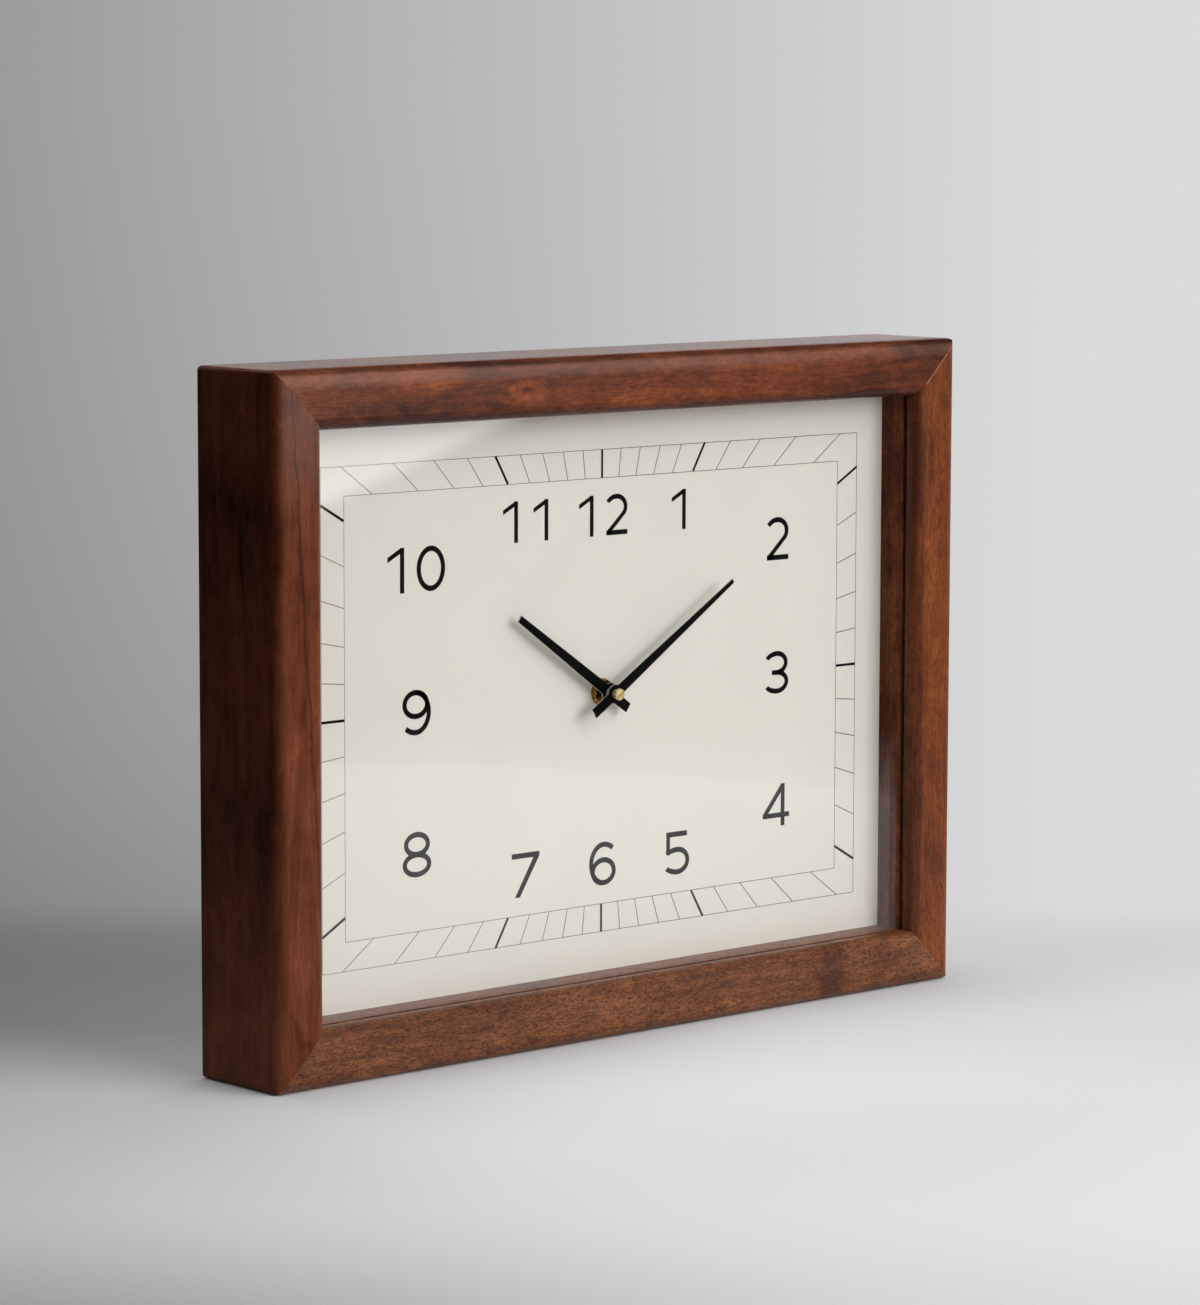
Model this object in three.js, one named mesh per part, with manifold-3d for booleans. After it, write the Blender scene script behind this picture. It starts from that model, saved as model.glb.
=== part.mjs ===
// Wooden wall clock: a mitred hardwood case, a glazed rectangular dial, two hands and a quartz movement.
// Millimetres. Seen from the front +X is to the right, +Y goes to the back and +Z is up.
// The origin is the middle of the case's footprint.
import * as THREE from 'three';
import { mergeVertices } from 'three/addons/utils/BufferGeometryUtils.js';
import Module from 'manifold-3d';

const wasm = await Module();
wasm.setup();

// Case
const caseWidth = 406.4;
const caseDepth = 53.2;
const caseHeight = 304.8;
const railWidth = 25.9;
const lipWidth = 7;
const lipDepth = 7.4;
const outerEdgeRadius = 5.5;
const innerEdgeRadius = 5;
const cornerRadius = 3;
const backArris = 0.8;
const mitreGap = 0.3;
const splineLength = 12;
const splineWidth = 9;
const splineThickness = 3;
const splineInset = 10;
const splineSetback = 20;
const splineFit = 0.15;

// Glazing and dial
const glassThickness = 2;
const glassFit = 0.5;
const spacerFit = 0.2;
const dialSetback = 23.6;
const printThickness = 0.4;
const printMargin = 1;
const boardThickness = 3;
const boardFit = 0.4;

// Screws that hold the dial board to the spacers
const boardScrewRadius = 1.2;
const boardScrewHeadRadius = 2.2;
const boardScrewHeadHeight = 1.4;
const boardScrewLength = 12;
const boardScrewSpacing = 220;
const screwHoleFit = 0.3;

// Hanger in the top rail
const hangerLength = 46;
const hangerHeight = 9;
const hangerThickness = 0.8;
const hangerTabLength = 8;
const hangerRise = 0.9;
const hangerToothPitch = 2.5;
const hangerToothDepth = 1.2;
const pocketDepth = 2.4;
const pocketMargin = 2;
const hangerScrewRadius = 1;
const hangerScrewHeadRadius = 1.9;
const hangerScrewHeadHeight = 1;
const hangerScrewLength = 9;

// Movement housing
const movementSize = 56;
const movementDepth = 16;
const housingRadius = 2.5;
const housingWall = 1.5;
const frontWall = 1.2;
const coverThickness = 1.2;
const bayFloor = 1.1;
const partition = 1;
const cellFit = 0.15;
const thumbCutWidth = 16;
const thumbCutDepth = 7;
const rimHeight = 1;
const rimThickness = 0.8;
const rimFit = 0.15;

// Cell and its contacts
const cellDiameter = 14.5;
const cellLength = 50.5;
const cellNubRadius = 2.75;
const cellNubLength = 1;
const cellEdge = 0.6;
const contactThickness = 0.4;
const contactFit = 0.05;
const contactHeight = 11;
const contactDepth = 9;
const contactFoot = 1;
const tailDepth = 1.8;
const tailRise = 3;
const notchFit = 0.2;
const leafDepth = 4;
const leafCrest = 1;
const leafFixedEnd = 0.5;
const leafFreeEnd = 1.2;

// Fastening at the centre of the dial
const rubberThickness = 0.5;
const rubberRadius = 10;
const bushRadius = 3.9;
const bushBore = 2.75;
const bushFlangeRadius = 6.5;
const bushFlangeThickness = 0.4;
const bushProud = 0.6;
const bushFit = 0.15;
const washerRadius = 6.2;
const washerThickness = 0.5;
const nutAcrossFlats = 11;
const nutThickness = 2;

// Hands
const hourHand = {
  length: 65.3, tail: 13.4, tip: 3.3, root: 5.2, tailEnd: 4.6, hub: 4.6, lift: 5.2, collet: 1.6,
};
const minuteHand = {
  length: 85.8, tail: 14.9, tip: 2, root: 5, tailEnd: 4.7, hub: 4.2, lift: 8.6, collet: 1,
};
const handThickness = 0.7;
const colletRadius = 3.5;
const restHour = 10;
const restMinute = 9.61;
const tubeRadius = 2.55;
const tubeBore = 1.9;
const tubeProud = 0.4;
const arborRadius = 1.7;
const arborEndRadius = 1.3;
const arborFit = 0.15;
const nutNeckRadius = 2;
const nutNeckLength = 2.2;
const nutHeadRadius = 2.65;
const nutHeadHeight = 1.2;
const nutHeadRound = 0.4;

// Gear train: a tooth form lists pairs of height above the pitch circle in modules
// and half-width as a share of the pitch.
const wheelTooth = [[-1.35, 0.24], [1, 0.09]];
const pinionLeaf = [[-1.3, 0.14], [0, 0.16], [0.7, 0]];
const motionModule = 0.36;
const centreModule = 0.34;
const secondsModule = 0.4;
const rotorModule = 0.33;
const motionDirection = 60;
const knobDirection = 20;
const thirdDirection = 140;
const intermediateDirection = 180;
const rotorDirection = 120;
const toothCounts = {
  cannon: 15, motion: 45, motionPinion: 12, hour: 48, knob: 15,
  centre: 60, thirdPinion: 8, third: 64, secondsPinion: 8, seconds: 40,
  intermediatePinion: 8, intermediate: 48, rotor: 8,
};

// Layers of the train from the housing's front wall to its cover
const wheelThickness = 0.8;
const hourWheelThickness = 1;
const thinWheelThickness = 0.6;
const layerGap = 0.4;
const pinionProud = 0.1;
const bridgeThickness = 1;
const bridgeEdge = 1;

// Arbors
const wheelArborRadius = 0.6;
const pivotRadius = 0.35;
const pivotFit = 0.1;
const pivotLength = 1;
const bossRadius = 1.3;
const endShake = 0.3;
const studRadius = 0.75;
const studFit = 0.2;

// Motor, circuit and setting knob
const magnetRadius = 2.2;
const magnetLength = 2.3;
const rotorGap = 0.5;
const statorThickness = 0.8;
const statorArm = 3.8;
const coilHeight = 21;
const coilCoreWidth = 3;
const bobbinRadius = 2;
const bobbinFlangeRadius = 3.2;
const bobbinFlangeThickness = 0.8;
const windingRadius = 2.95;
const windingFit = 0.15;
const coilOverhang = 1.9;
const coilRightX = 3;
const poleMargin = 1;
const postRadius = 1.4;
const statorPostZ = 17;
const circuitThickness = 0.8;
const circuitLeftX = 4;
const circuitTopZ = 8;
const circuitFloorGap = 0.8;
const circuitArm = { width: 5, top: 18 };
const circuitPostInset = 2.5;
const crystalRadius = 1;
const crystalLength = 6;
const crystalPlace = [12, 2];
const chipRadius = 2.2;
const chipHeight = 0.9;
const chipPlace = [9.5, -2.5];
const knobArborRadius = 1.1;
const knobRadius = 5;
const knobLength = 4;
const knobRidges = 18;
const knobRidge = [[-0.6, 0.3], [0, 0.18]];
const knobEdge = 0.8;
const knobGap = 0.3;

const tau = 2 * Math.PI;
const far = 200;

// Places worked out from the sizes above
const frontY = -caseDepth / 2;
const backY = caseDepth / 2;
const openingHalf = { x: caseWidth / 2 - railWidth, z: caseHeight / 2 - railWidth };
const rabbetHalf = { x: openingHalf.x + lipWidth, z: openingHalf.z + lipWidth };
const glassFrontY = frontY + lipDepth;
const glassBackY = glassFrontY + glassThickness;
const dialFrontY = frontY + dialSetback;
const boardFrontY = dialFrontY + printThickness;
const boardBackY = boardFrontY + boardThickness;
const dialHalf = { x: rabbetHalf.x - boardFit, z: rabbetHalf.z - boardFit };

// Materials, one for each mesh
const finishes = {
  walnut: { color: 0x6b3a24, roughness: 0.42, metalness: 0 },
  glass: { color: 0xdfe8e6, roughness: 0.03, metalness: 0, transparent: true, opacity: 0.18 },
  paper: { color: 0xdedcd0, roughness: 0.7, metalness: 0 },
  fibreboard: { color: 0x9a7a54, roughness: 0.85, metalness: 0 },
  blackPaint: { color: 0x0b0b0c, roughness: 0.4, metalness: 0.2 },
  brass: { color: 0xc79a4b, roughness: 0.28, metalness: 1 },
  steel: { color: 0xb9babb, roughness: 0.32, metalness: 1 },
  castIron: { color: 0x77797c, roughness: 0.5, metalness: 1 },
  rubber: { color: 0x1b1b1c, roughness: 0.9, metalness: 0 },
  blackPlastic: { color: 0x17181a, roughness: 0.5, metalness: 0 },
  whitePlastic: { color: 0xe9e6dc, roughness: 0.45, metalness: 0 },
  copper: { color: 0xb5622f, roughness: 0.35, metalness: 1 },
  circuit: { color: 0x2c6b43, roughness: 0.55, metalness: 0 },
  ferrite: { color: 0x3a3b3e, roughness: 0.6, metalness: 0.4 },
  cellJacket: { color: 0x5c6166, roughness: 0.35, metalness: 0.3 },
};

function finish(name) {
  return new THREE.MeshStandardMaterial(finishes[name]);
}

// Solids
function toSolid(geometry) {
  geometry.deleteAttribute('normal');
  geometry.deleteAttribute('uv');
  const merged = mergeVertices(geometry, 1e-5);
  const kept = [];
  for (let i = 0; i < merged.index.count; i += 3) {
    const [a, b, c] = [0, 1, 2].map((step) => merged.index.getX(i + step));
    if (a !== b && b !== c && c !== a) kept.push(a, b, c);
  }
  return new wasm.Manifold(new wasm.Mesh({
    numProp: 3,
    vertProperties: merged.attributes.position.array,
    triVerts: Uint32Array.from(kept),
  }));
}

function toGeometry(solid) {
  const mesh = solid.getMesh();
  const geometry = new THREE.BufferGeometry();
  geometry.setAttribute('position', new THREE.BufferAttribute(mesh.vertProperties, 3));
  geometry.setIndex(new THREE.BufferAttribute(mesh.triVerts, 1));
  const flat = geometry.toNonIndexed();
  flat.computeVertexNormals();
  return flat;
}

function box(x, y, z) {
  const geometry = new THREE.BoxGeometry(x[1] - x[0], y[1] - y[0], z[1] - z[0]);
  geometry.translate((x[0] + x[1]) / 2, (y[0] + y[1]) / 2, (z[0] + z[1]) / 2);
  return toSolid(geometry);
}

function outline(points) {
  return new THREE.Shape(points.map(([across, up]) => new THREE.Vector2(across, up)));
}

function roundedRectangle(halfWidth, halfHeight, radius) {
  const shape = new THREE.Shape();
  const corners = [[1, -1, -0.25], [1, 1, 0], [-1, 1, 0.25], [-1, -1, 0.5]];
  for (const [sideX, sideZ, start] of corners) {
    const x = sideX * (halfWidth - radius);
    const z = sideZ * (halfHeight - radius);
    shape.absarc(x, z, radius, start * tau, (start + 0.25) * tau, false);
  }
  return shape;
}

// Extrudes a front-view outline (x, z) from one depth to another.
function plate(shape, yFront, yBack, curveSegments = 4) {
  const settings = { depth: yBack - yFront, bevelEnabled: false, curveSegments };
  const geometry = new THREE.ExtrudeGeometry(shape, settings);
  geometry.rotateX(Math.PI / 2);
  geometry.translate(0, yBack, 0);
  return toSolid(geometry);
}

// Extrudes an outline of (y, z) along X, over the given length about the middle.
function bar(shape, length, curveSegments = 6) {
  const geometry = new THREE.ExtrudeGeometry(shape, { depth: length, bevelEnabled: false, curveSegments });
  geometry.applyMatrix4(new THREE.Matrix4().set(0, 0, 1, -length / 2, 1, 0, 0, 0, 0, 1, 0, 0, 0, 0, 0, 1));
  return toSolid(geometry);
}

// Turns a profile of (radius, y) about the Y axis, listed from front to back along the outside.
function turned(profile, segments = 20) {
  const points = profile.map(([radius, y]) => new THREE.Vector2(radius, y));
  return toSolid(new THREE.LatheGeometry(points, segments));
}

function rod(radius, yFront, yBack, segments = 20) {
  return turned([[0, yFront], [radius, yFront], [radius, yBack], [0, yBack]], segments);
}

function ring(outer, inner, yFront, yBack, segments = 20) {
  const profile = [[outer, yFront], [outer, yBack], [inner, yBack], [inner, yFront], [outer, yFront]];
  return turned(profile, segments);
}

function alongX(solid) {
  return solid.rotate([0, 0, -90]);
}

function at(solid, [x, z]) {
  return solid.translate([x, 0, z]);
}

function join(...solids) {
  return solids.reduce((whole, piece) => whole.add(piece));
}

function cut(solid, ...tools) {
  return tools.reduce((whole, tool) => whole.subtract(tool), solid);
}

const clock = new THREE.Group();
const movement = new THREE.Group();
const movementFrontY = boardBackY + rubberThickness;
movement.position.set(0, movementFrontY, caseHeight / 2);
clock.add(movement);

function add(parent, name, solid, finishName, position = [0, 0, 0]) {
  const mesh = new THREE.Mesh(toGeometry(solid), finish(finishName));
  mesh.name = name;
  mesh.position.set(...position);
  parent.add(mesh);
  return mesh;
}

// Case: each rail lies below the middle of the frame and is turned to its side.
// Its section runs from the outer face (z 0) to the opening, with the glass rabbet behind the lip.
function railSection() {
  const shape = new THREE.Shape();
  const rabbetZ = railWidth - lipWidth;
  shape.moveTo(frontY, outerEdgeRadius);
  shape.absarc(frontY + outerEdgeRadius, outerEdgeRadius, outerEdgeRadius, tau / 2, tau * 0.75, false);
  shape.lineTo(backY - backArris, 0);
  shape.lineTo(backY, backArris);
  shape.lineTo(backY, rabbetZ);
  shape.lineTo(glassFrontY, rabbetZ);
  shape.lineTo(glassFrontY, railWidth);
  const innerCentre = [frontY + innerEdgeRadius, railWidth - innerEdgeRadius];
  shape.absarc(...innerCentre, innerEdgeRadius, tau / 4, tau / 2, false);
  return shape;
}

// The mitre joint's loose tongue, set across the corner and square to the mitre.
function cornerSpline(halfLength, halfHeight, fit) {
  const blade = box(
    [-splineLength / 2 - fit, splineLength / 2 + fit],
    [frontY + splineSetback - fit, frontY + splineSetback + splineThickness + fit],
    [-splineWidth / 2 - fit, splineWidth / 2 + fit],
  );
  return blade.rotate([0, 45, 0]).translate([halfLength - splineInset, 0, splineInset - halfHeight]);
}

function rail(length, offset) {
  const half = length / 2;
  const reach = railWidth + outerEdgeRadius;
  const shift = mitreGap / Math.SQRT2;
  const foot = half - shift;
  const mitred = plate(
    outline([
      [-foot, -offset], [foot, -offset], [foot - reach, reach - offset], [reach - foot, reach - offset],
    ]),
    frontY - 1,
    backY + 1,
  );
  const corners = plate(roundedRectangle(half, offset, cornerRadius), frontY - 1, backY + 1);
  const right = cornerSpline(half, offset, splineFit);
  const left = right.mirror([1, 0, 0]);
  const stock = bar(railSection(), length + 2, 6).translate([0, 0, -offset]);
  return cut(stock.intersect(mitred).intersect(corners), right, left);
}

const hangerCentreZ = -caseHeight / 2 + (railWidth - lipWidth) / 2 + backArris / 2;
const pocketFloorY = backY - pocketDepth;
const hangerScrewX = hangerLength / 2 - hangerTabLength / 2;

function hangerScrewHole(side) {
  const hole = rod(hangerScrewRadius + screwHoleFit, pocketFloorY - hangerScrewLength, backY, 8);
  return at(hole, [side * hangerScrewX, hangerCentreZ]);
}

function topRail() {
  const pocket = box(
    [-hangerLength / 2 - pocketMargin, hangerLength / 2 + pocketMargin],
    [pocketFloorY, backY + 1],
    [hangerCentreZ - hangerHeight / 2 - pocketMargin, hangerCentreZ + hangerHeight / 2 + pocketMargin],
  );
  return cut(rail(caseWidth, caseHeight / 2), pocket, hangerScrewHole(-1), hangerScrewHole(1));
}

function addRail(name, solid, quarterTurns) {
  const side = new THREE.Group();
  side.position.z = caseHeight / 2;
  side.rotation.y = quarterTurns * tau / 4;
  clock.add(side);
  add(side, name, solid, 'walnut');
  return side;
}

addRail('bottom_rail', rail(caseWidth, caseHeight / 2), 0);
addRail('left_stile', rail(caseHeight, caseWidth / 2), 1);
const topSide = addRail('top_rail', topRail(), 2);
addRail('right_stile', rail(caseHeight, caseWidth / 2), 3);

for (const [number, sideX, sideZ] of [[1, 1, -1], [2, -1, -1], [3, -1, 1], [4, 1, 1]]) {
  const spline = cornerSpline(caseWidth / 2, caseHeight / 2, 0);
  const acrossX = sideX < 0 ? spline.mirror([1, 0, 0]) : spline;
  const placed = sideZ > 0 ? acrossX.mirror([0, 0, 1]) : acrossX;
  add(clock, `corner_spline_${number}`, placed.translate([0, 0, caseHeight / 2]), 'walnut');
}

// Hanger: a toothed strip whose middle stands clear of the pocket's floor.
function hangerPlate() {
  const halfLength = hangerLength / 2;
  const innerEnd = halfLength - hangerTabLength;
  const bend = innerEnd - hangerRise;
  const low = pocketFloorY;
  const high = pocketFloorY + hangerRise;
  const side = outline([
    [-halfLength, low], [-innerEnd, low], [-bend, high], [bend, high], [innerEnd, low], [halfLength, low],
    [halfLength, low + hangerThickness], [innerEnd, low + hangerThickness], [bend, high + hangerThickness],
    [-bend, high + hangerThickness], [-innerEnd, low + hangerThickness], [-halfLength, low + hangerThickness],
  ]);
  const geometry = new THREE.ExtrudeGeometry(side, { depth: hangerHeight, bevelEnabled: false });
  geometry.translate(0, 0, hangerCentreZ - hangerHeight / 2);
  const strip = toSolid(geometry);
  const toothCount = Math.floor(2 * (bend - 1) / hangerToothPitch);
  const lowerEdge = hangerCentreZ + hangerHeight / 2;
  const teethStart = -toothCount * hangerToothPitch / 2;
  const points = [[teethStart, lowerEdge + 1]];
  for (let tooth = 0; tooth < toothCount; tooth += 1) {
    const start = teethStart + tooth * hangerToothPitch;
    points.push([start, lowerEdge], [start + hangerToothPitch / 2, lowerEdge - hangerToothDepth]);
  }
  points.push([-teethStart, lowerEdge], [-teethStart, lowerEdge + 1]);
  const past = [low - 1, high + hangerThickness + 1];
  const teeth = plate(outline(points.reverse()), ...past);
  const holes = [-1, 1].map((end) => (
    at(rod(hangerScrewRadius + screwHoleFit, ...past, 8), [end * hangerScrewX, hangerCentreZ])
  ));
  return cut(strip, teeth, ...holes);
}

add(topSide, 'hanger_plate', hangerPlate(), 'steel');
for (const [number, side] of [[1, 1], [2, -1]]) {
  const seatY = pocketFloorY + hangerThickness;
  const screw = turned([
    [0, pocketFloorY - hangerScrewLength + screwHoleFit],
    [hangerScrewRadius, pocketFloorY - hangerScrewLength + 3 * hangerScrewRadius],
    [hangerScrewRadius, seatY],
    [hangerScrewHeadRadius, seatY],
    [0, seatY + hangerScrewHeadHeight],
  ], 8);
  add(topSide, `hanger_screw_${number}`, screw, 'steel', [side * hangerScrewX, 0, hangerCentreZ]);
}

// Glazing, spacers and dial
const glassHalf = { x: rabbetHalf.x - glassFit, z: rabbetHalf.z - glassFit };
const spacerHalf = { x: rabbetHalf.x - spacerFit, z: rabbetHalf.z - spacerFit };
const frameCentre = [0, 0, caseHeight / 2];
const boardScrewX = openingHalf.x + (spacerHalf.x - openingHalf.x) / 2;
const boardScrewZ = openingHalf.z + (spacerHalf.z - openingHalf.z) / 2;
const boardScrewPlaces = [
  [-boardScrewSpacing / 2, boardScrewZ], [boardScrewSpacing / 2, boardScrewZ], [boardScrewX, 0],
  [boardScrewSpacing / 2, -boardScrewZ], [-boardScrewSpacing / 2, -boardScrewZ], [-boardScrewX, 0],
];

function boardScrewHoles(yFront, yBack) {
  const hole = rod(boardScrewRadius + screwHoleFit, yFront, yBack, 8);
  return boardScrewPlaces.map((place) => at(hole, place));
}

function centreBox(xHalf, zHalf, y) {
  return box([-xHalf, xHalf], y, [-zHalf, zHalf]);
}

const pane = centreBox(glassHalf.x, glassHalf.z, [glassFrontY, glassBackY]);
add(clock, 'glass_pane', pane, 'glass', frameCentre);

const spacerY = [glassBackY, dialFrontY];
const spacerHoles = boardScrewHoles(boardBackY - boardScrewLength - screwHoleFit, dialFrontY + 1);
const spacerZ = [spacerFit - openingHalf.z, openingHalf.z - spacerFit];
const spacers = {
  spacer_top: box([-spacerHalf.x, spacerHalf.x], spacerY, [openingHalf.z, spacerHalf.z]),
  spacer_bottom: box([-spacerHalf.x, spacerHalf.x], spacerY, [-spacerHalf.z, -openingHalf.z]),
  spacer_left: box([-spacerHalf.x, -openingHalf.x], spacerY, spacerZ),
  spacer_right: box([openingHalf.x, spacerHalf.x], spacerY, spacerZ),
};
for (const [name, strip] of Object.entries(spacers)) {
  add(clock, name, cut(strip, ...spacerHoles), 'walnut', frameCentre);
}

const dialCentreHole = rod(bushRadius + screwHoleFit, frontY, backY, 16);
const print = centreBox(openingHalf.x + printMargin, openingHalf.z + printMargin, [dialFrontY, boardFrontY]);
const board = centreBox(dialHalf.x, dialHalf.z, [boardFrontY, boardBackY]);
const boardHoles = [dialCentreHole, ...boardScrewHoles(dialFrontY, backY)];
add(clock, 'dial_print', cut(print, dialCentreHole), 'paper', frameCentre);
add(clock, 'dial_board', cut(board, ...boardHoles), 'fibreboard', frameCentre);

boardScrewPlaces.forEach(([x, z], index) => {
  const screw = turned([
    [0, boardBackY - boardScrewLength],
    [boardScrewRadius, boardBackY - boardScrewLength + 2 * boardScrewRadius],
    [boardScrewRadius, boardBackY],
    [boardScrewHeadRadius, boardBackY],
    [boardScrewHeadRadius / 2, boardBackY + boardScrewHeadHeight],
    [0, boardBackY + boardScrewHeadHeight],
  ], 8);
  add(clock, `board_screw_${index + 1}`, screw, 'steel', [x, 0, caseHeight / 2 + z]);
});

// Gears: a phase is the angle of one tooth's centre, anticlockwise seen from the front.
function polar(radius, degrees, [x, z] = [0, 0]) {
  const angle = degrees * tau / 360;
  return [x + radius * Math.cos(angle), z + radius * Math.sin(angle)];
}

function gearOutline({ teeth, size, tooth, phase }) {
  const pitch = tau / teeth;
  const points = [];
  const mirrored = tooth.filter(([, half]) => half > 0).reverse().map(([rise, half]) => [rise, -half]);
  for (let index = 0; index < teeth; index += 1) {
    for (const [rise, half] of [...tooth, ...mirrored]) {
      const radius = (teeth / 2 + rise) * size;
      const angle = phase + (index - half) * pitch;
      points.push([radius * Math.cos(angle), radius * Math.sin(angle)]);
    }
  }
  return outline(points);
}

function gear(kind, yFront, yBack) {
  return plate(gearOutline(kind), yFront, yBack);
}

function centreDistance(one, other) {
  return (one.teeth * one.size + other.teeth * other.size) / 2;
}

// Turns the follower so that one of its gaps faces the driver's tooth on the line of centres.
function meshed(driver, follower, degrees) {
  const direction = degrees * tau / 360;
  const share = (direction - driver.phase) * driver.teeth / tau;
  return { ...follower, phase: direction + tau / 2 + (share + 0.5) * tau / follower.teeth };
}

const wheel = (teeth, size) => ({ teeth, size, tooth: wheelTooth, phase: 0 });
const pinion = (teeth, size) => ({ teeth, size, tooth: pinionLeaf, phase: 0 });

const cannonPinion = pinion(toothCounts.cannon, motionModule);
const motionTeeth = meshed(cannonPinion, wheel(toothCounts.motion, motionModule), motionDirection);
const motionDistance = centreDistance(cannonPinion, motionTeeth);
const motionCentre = polar(motionDistance, motionDirection);
const hourModule = 2 * motionDistance / (toothCounts.motionPinion + toothCounts.hour);
const motionPinion = pinion(toothCounts.motionPinion, hourModule);
const hourTeeth = meshed(motionPinion, wheel(toothCounts.hour, hourModule), motionDirection + 180);
const knobPinion = meshed(motionTeeth, pinion(toothCounts.knob, motionModule), knobDirection);
const knobCentre = polar(motionDistance, knobDirection, motionCentre);

const thirdPinion = pinion(toothCounts.thirdPinion, centreModule);
const centreTeeth = meshed(thirdPinion, wheel(toothCounts.centre, centreModule), thirdDirection + 180);
const thirdDistance = centreDistance(thirdPinion, centreTeeth);
const thirdCentre = polar(thirdDistance, thirdDirection);
const thirdModule = 2 * thirdDistance / (toothCounts.secondsPinion + toothCounts.third);
const secondsPinion = pinion(toothCounts.secondsPinion, thirdModule);
const thirdTeeth = meshed(secondsPinion, wheel(toothCounts.third, thirdModule), thirdDirection);
const secondsTeeth = wheel(toothCounts.seconds, secondsModule);
const intermediateBlank = pinion(toothCounts.intermediatePinion, secondsModule);
const intermediatePinion = meshed(secondsTeeth, intermediateBlank, intermediateDirection);
const intermediateDistance = centreDistance(secondsTeeth, intermediatePinion);
const intermediateCentre = polar(intermediateDistance, intermediateDirection);
const intermediateTeeth = wheel(toothCounts.intermediate, rotorModule);
const rotorPinion = meshed(intermediateTeeth, pinion(toothCounts.rotor, rotorModule), rotorDirection);
const rotorDistance = centreDistance(intermediateTeeth, rotorPinion);
const rotorCentre = polar(rotorDistance, rotorDirection, intermediateCentre);
const axisCentre = [0, 0];

// Depths of the layers, from the movement's front face
const hourWheelY = [frontWall + bushFlangeThickness + layerGap / 2, 0];
hourWheelY[1] = hourWheelY[0] + hourWheelThickness;
const motionWheelY = [hourWheelY[1] + layerGap, hourWheelY[1] + layerGap + wheelThickness];
const centreWheelY = [motionWheelY[1] + layerGap, motionWheelY[1] + layerGap + wheelThickness];
const thirdWheelY = [centreWheelY[1] + layerGap, centreWheelY[1] + layerGap + thinWheelThickness];
const bridgeY = [thirdWheelY[1] + layerGap, thirdWheelY[1] + layerGap + bridgeThickness];
const secondsWheelY = [bridgeY[1] + layerGap, bridgeY[1] + layerGap + thinWheelThickness];
const intermediateWheelY = [secondsWheelY[1] + layerGap, secondsWheelY[1] + layerGap + thinWheelThickness];
const statorY = [intermediateWheelY[1] + layerGap, intermediateWheelY[1] + layerGap + statorThickness];
const coreY = [statorY[1], statorY[1] + statorThickness];
const coilCentreY = (coreY[0] + coreY[1]) / 2;
const coverFrontY = movementDepth - coverThickness;
const circuitY = [coverFrontY - rimHeight - circuitThickness, coverFrontY - rimHeight];

function proud([yFront, yBack]) {
  return [yFront - pinionProud, yBack + pinionProud];
}

// Movement housing: a square shell with the works above and an open bay for the cell below.
const movementHalf = movementSize / 2;
const cavityHalf = movementHalf - housingWall;
const bayRadius = cellDiameter / 2 + cellFit;
const bayCentreZ = bayFloor + bayRadius - movementHalf;
const cellCentreY = frontWall + bayRadius;
const worksFloorZ = bayCentreZ + bayRadius + partition;
const coverEdgeZ = worksFloorZ - partition / 2;
const pillarRadius = 1.6;
const pillarInset = 3;
const pillarX = cavityHalf - pillarInset;
const pillarLowZ = worksFloorZ + pillarInset;
const pillarHighZ = cavityHalf - pillarInset;
const coilX = [rotorCentre[0] - magnetRadius - coilOverhang, coilRightX];
const armOuterX = [coilX[0] - rotorGap - statorArm, coilX[1] + rotorGap + statorArm];
const circuitX = [circuitLeftX, cavityHalf - housingWall];
const circuitZ = [worksFloorZ + circuitFloorGap, circuitTopZ];
const tailY = [coilCentreY - tailDepth / 2, coilCentreY + tailDepth / 2];
const tailNotch = [tailY[0] - notchFit, tailY[1] + notchFit];

function pivotHole(y) {
  return rod(pivotRadius + pivotFit, y[0], y[1], 12);
}

function movementCase() {
  const shell = plate(roundedRectangle(movementHalf, movementHalf, housingRadius), 0, movementDepth);
  const works = box([-cavityHalf, cavityHalf], [frontWall, far], [worksFloorZ, cavityHalf]);
  const bayZ = [bayCentreZ - bayRadius, bayCentreZ + bayRadius];
  const bay = box([-cavityHalf, cavityHalf], [frontWall, far], bayZ);
  const coverSeat = box([-far, far], [coverFrontY, far], [coverEdgeZ, far]);
  const thumbCut = box(
    [-thumbCutWidth / 2, thumbCutWidth / 2],
    [movementDepth - thumbCutDepth, far],
    [-far, bayCentreZ],
  );
  const notches = [-1, 1].map((side) => box(
    side < 0
      ? [-cavityHalf, 2 * contactThickness - cavityHalf]
      : [cavityHalf - 2 * contactThickness, cavityHalf],
    tailNotch,
    [bayCentreZ, worksFloorZ + 1],
  ));
  const pillar = rod(pillarRadius, frontWall / 2, bridgeY[0], 12);
  const pillars = [
    [-pillarX, pillarLowZ], [pillarX, pillarLowZ], [-pillarX, pillarHighZ], [pillarX, pillarHighZ],
  ].map((spot) => at(pillar, spot));
  const thirdBossY = centreWheelY[0] - layerGap * 2;
  const knobBossY = motionWheelY[0] - layerGap;
  return cut(
    join(
      cut(shell, works, bay, coverSeat, thumbCut, ...notches),
      ...pillars,
      at(rod(bossRadius, frontWall / 2, thirdBossY, 12), thirdCentre),
      at(rod(bossRadius, frontWall / 2, knobBossY, 12), knobCentre),
      at(rod(studRadius, frontWall / 2, motionWheelY[1], 12), motionCentre),
    ),
    rod(bushRadius + bushFit, -1, frontWall + 1),
    at(pivotHole([thirdBossY - pivotLength - endShake, far]), thirdCentre),
    at(pivotHole([knobBossY - pivotLength - endShake, far]), knobCentre),
  );
}

add(movement, 'movement_case', movementCase(), 'blackPlastic');

const coverHalfZ = [coverEdgeZ + rimFit, movementHalf];

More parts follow.
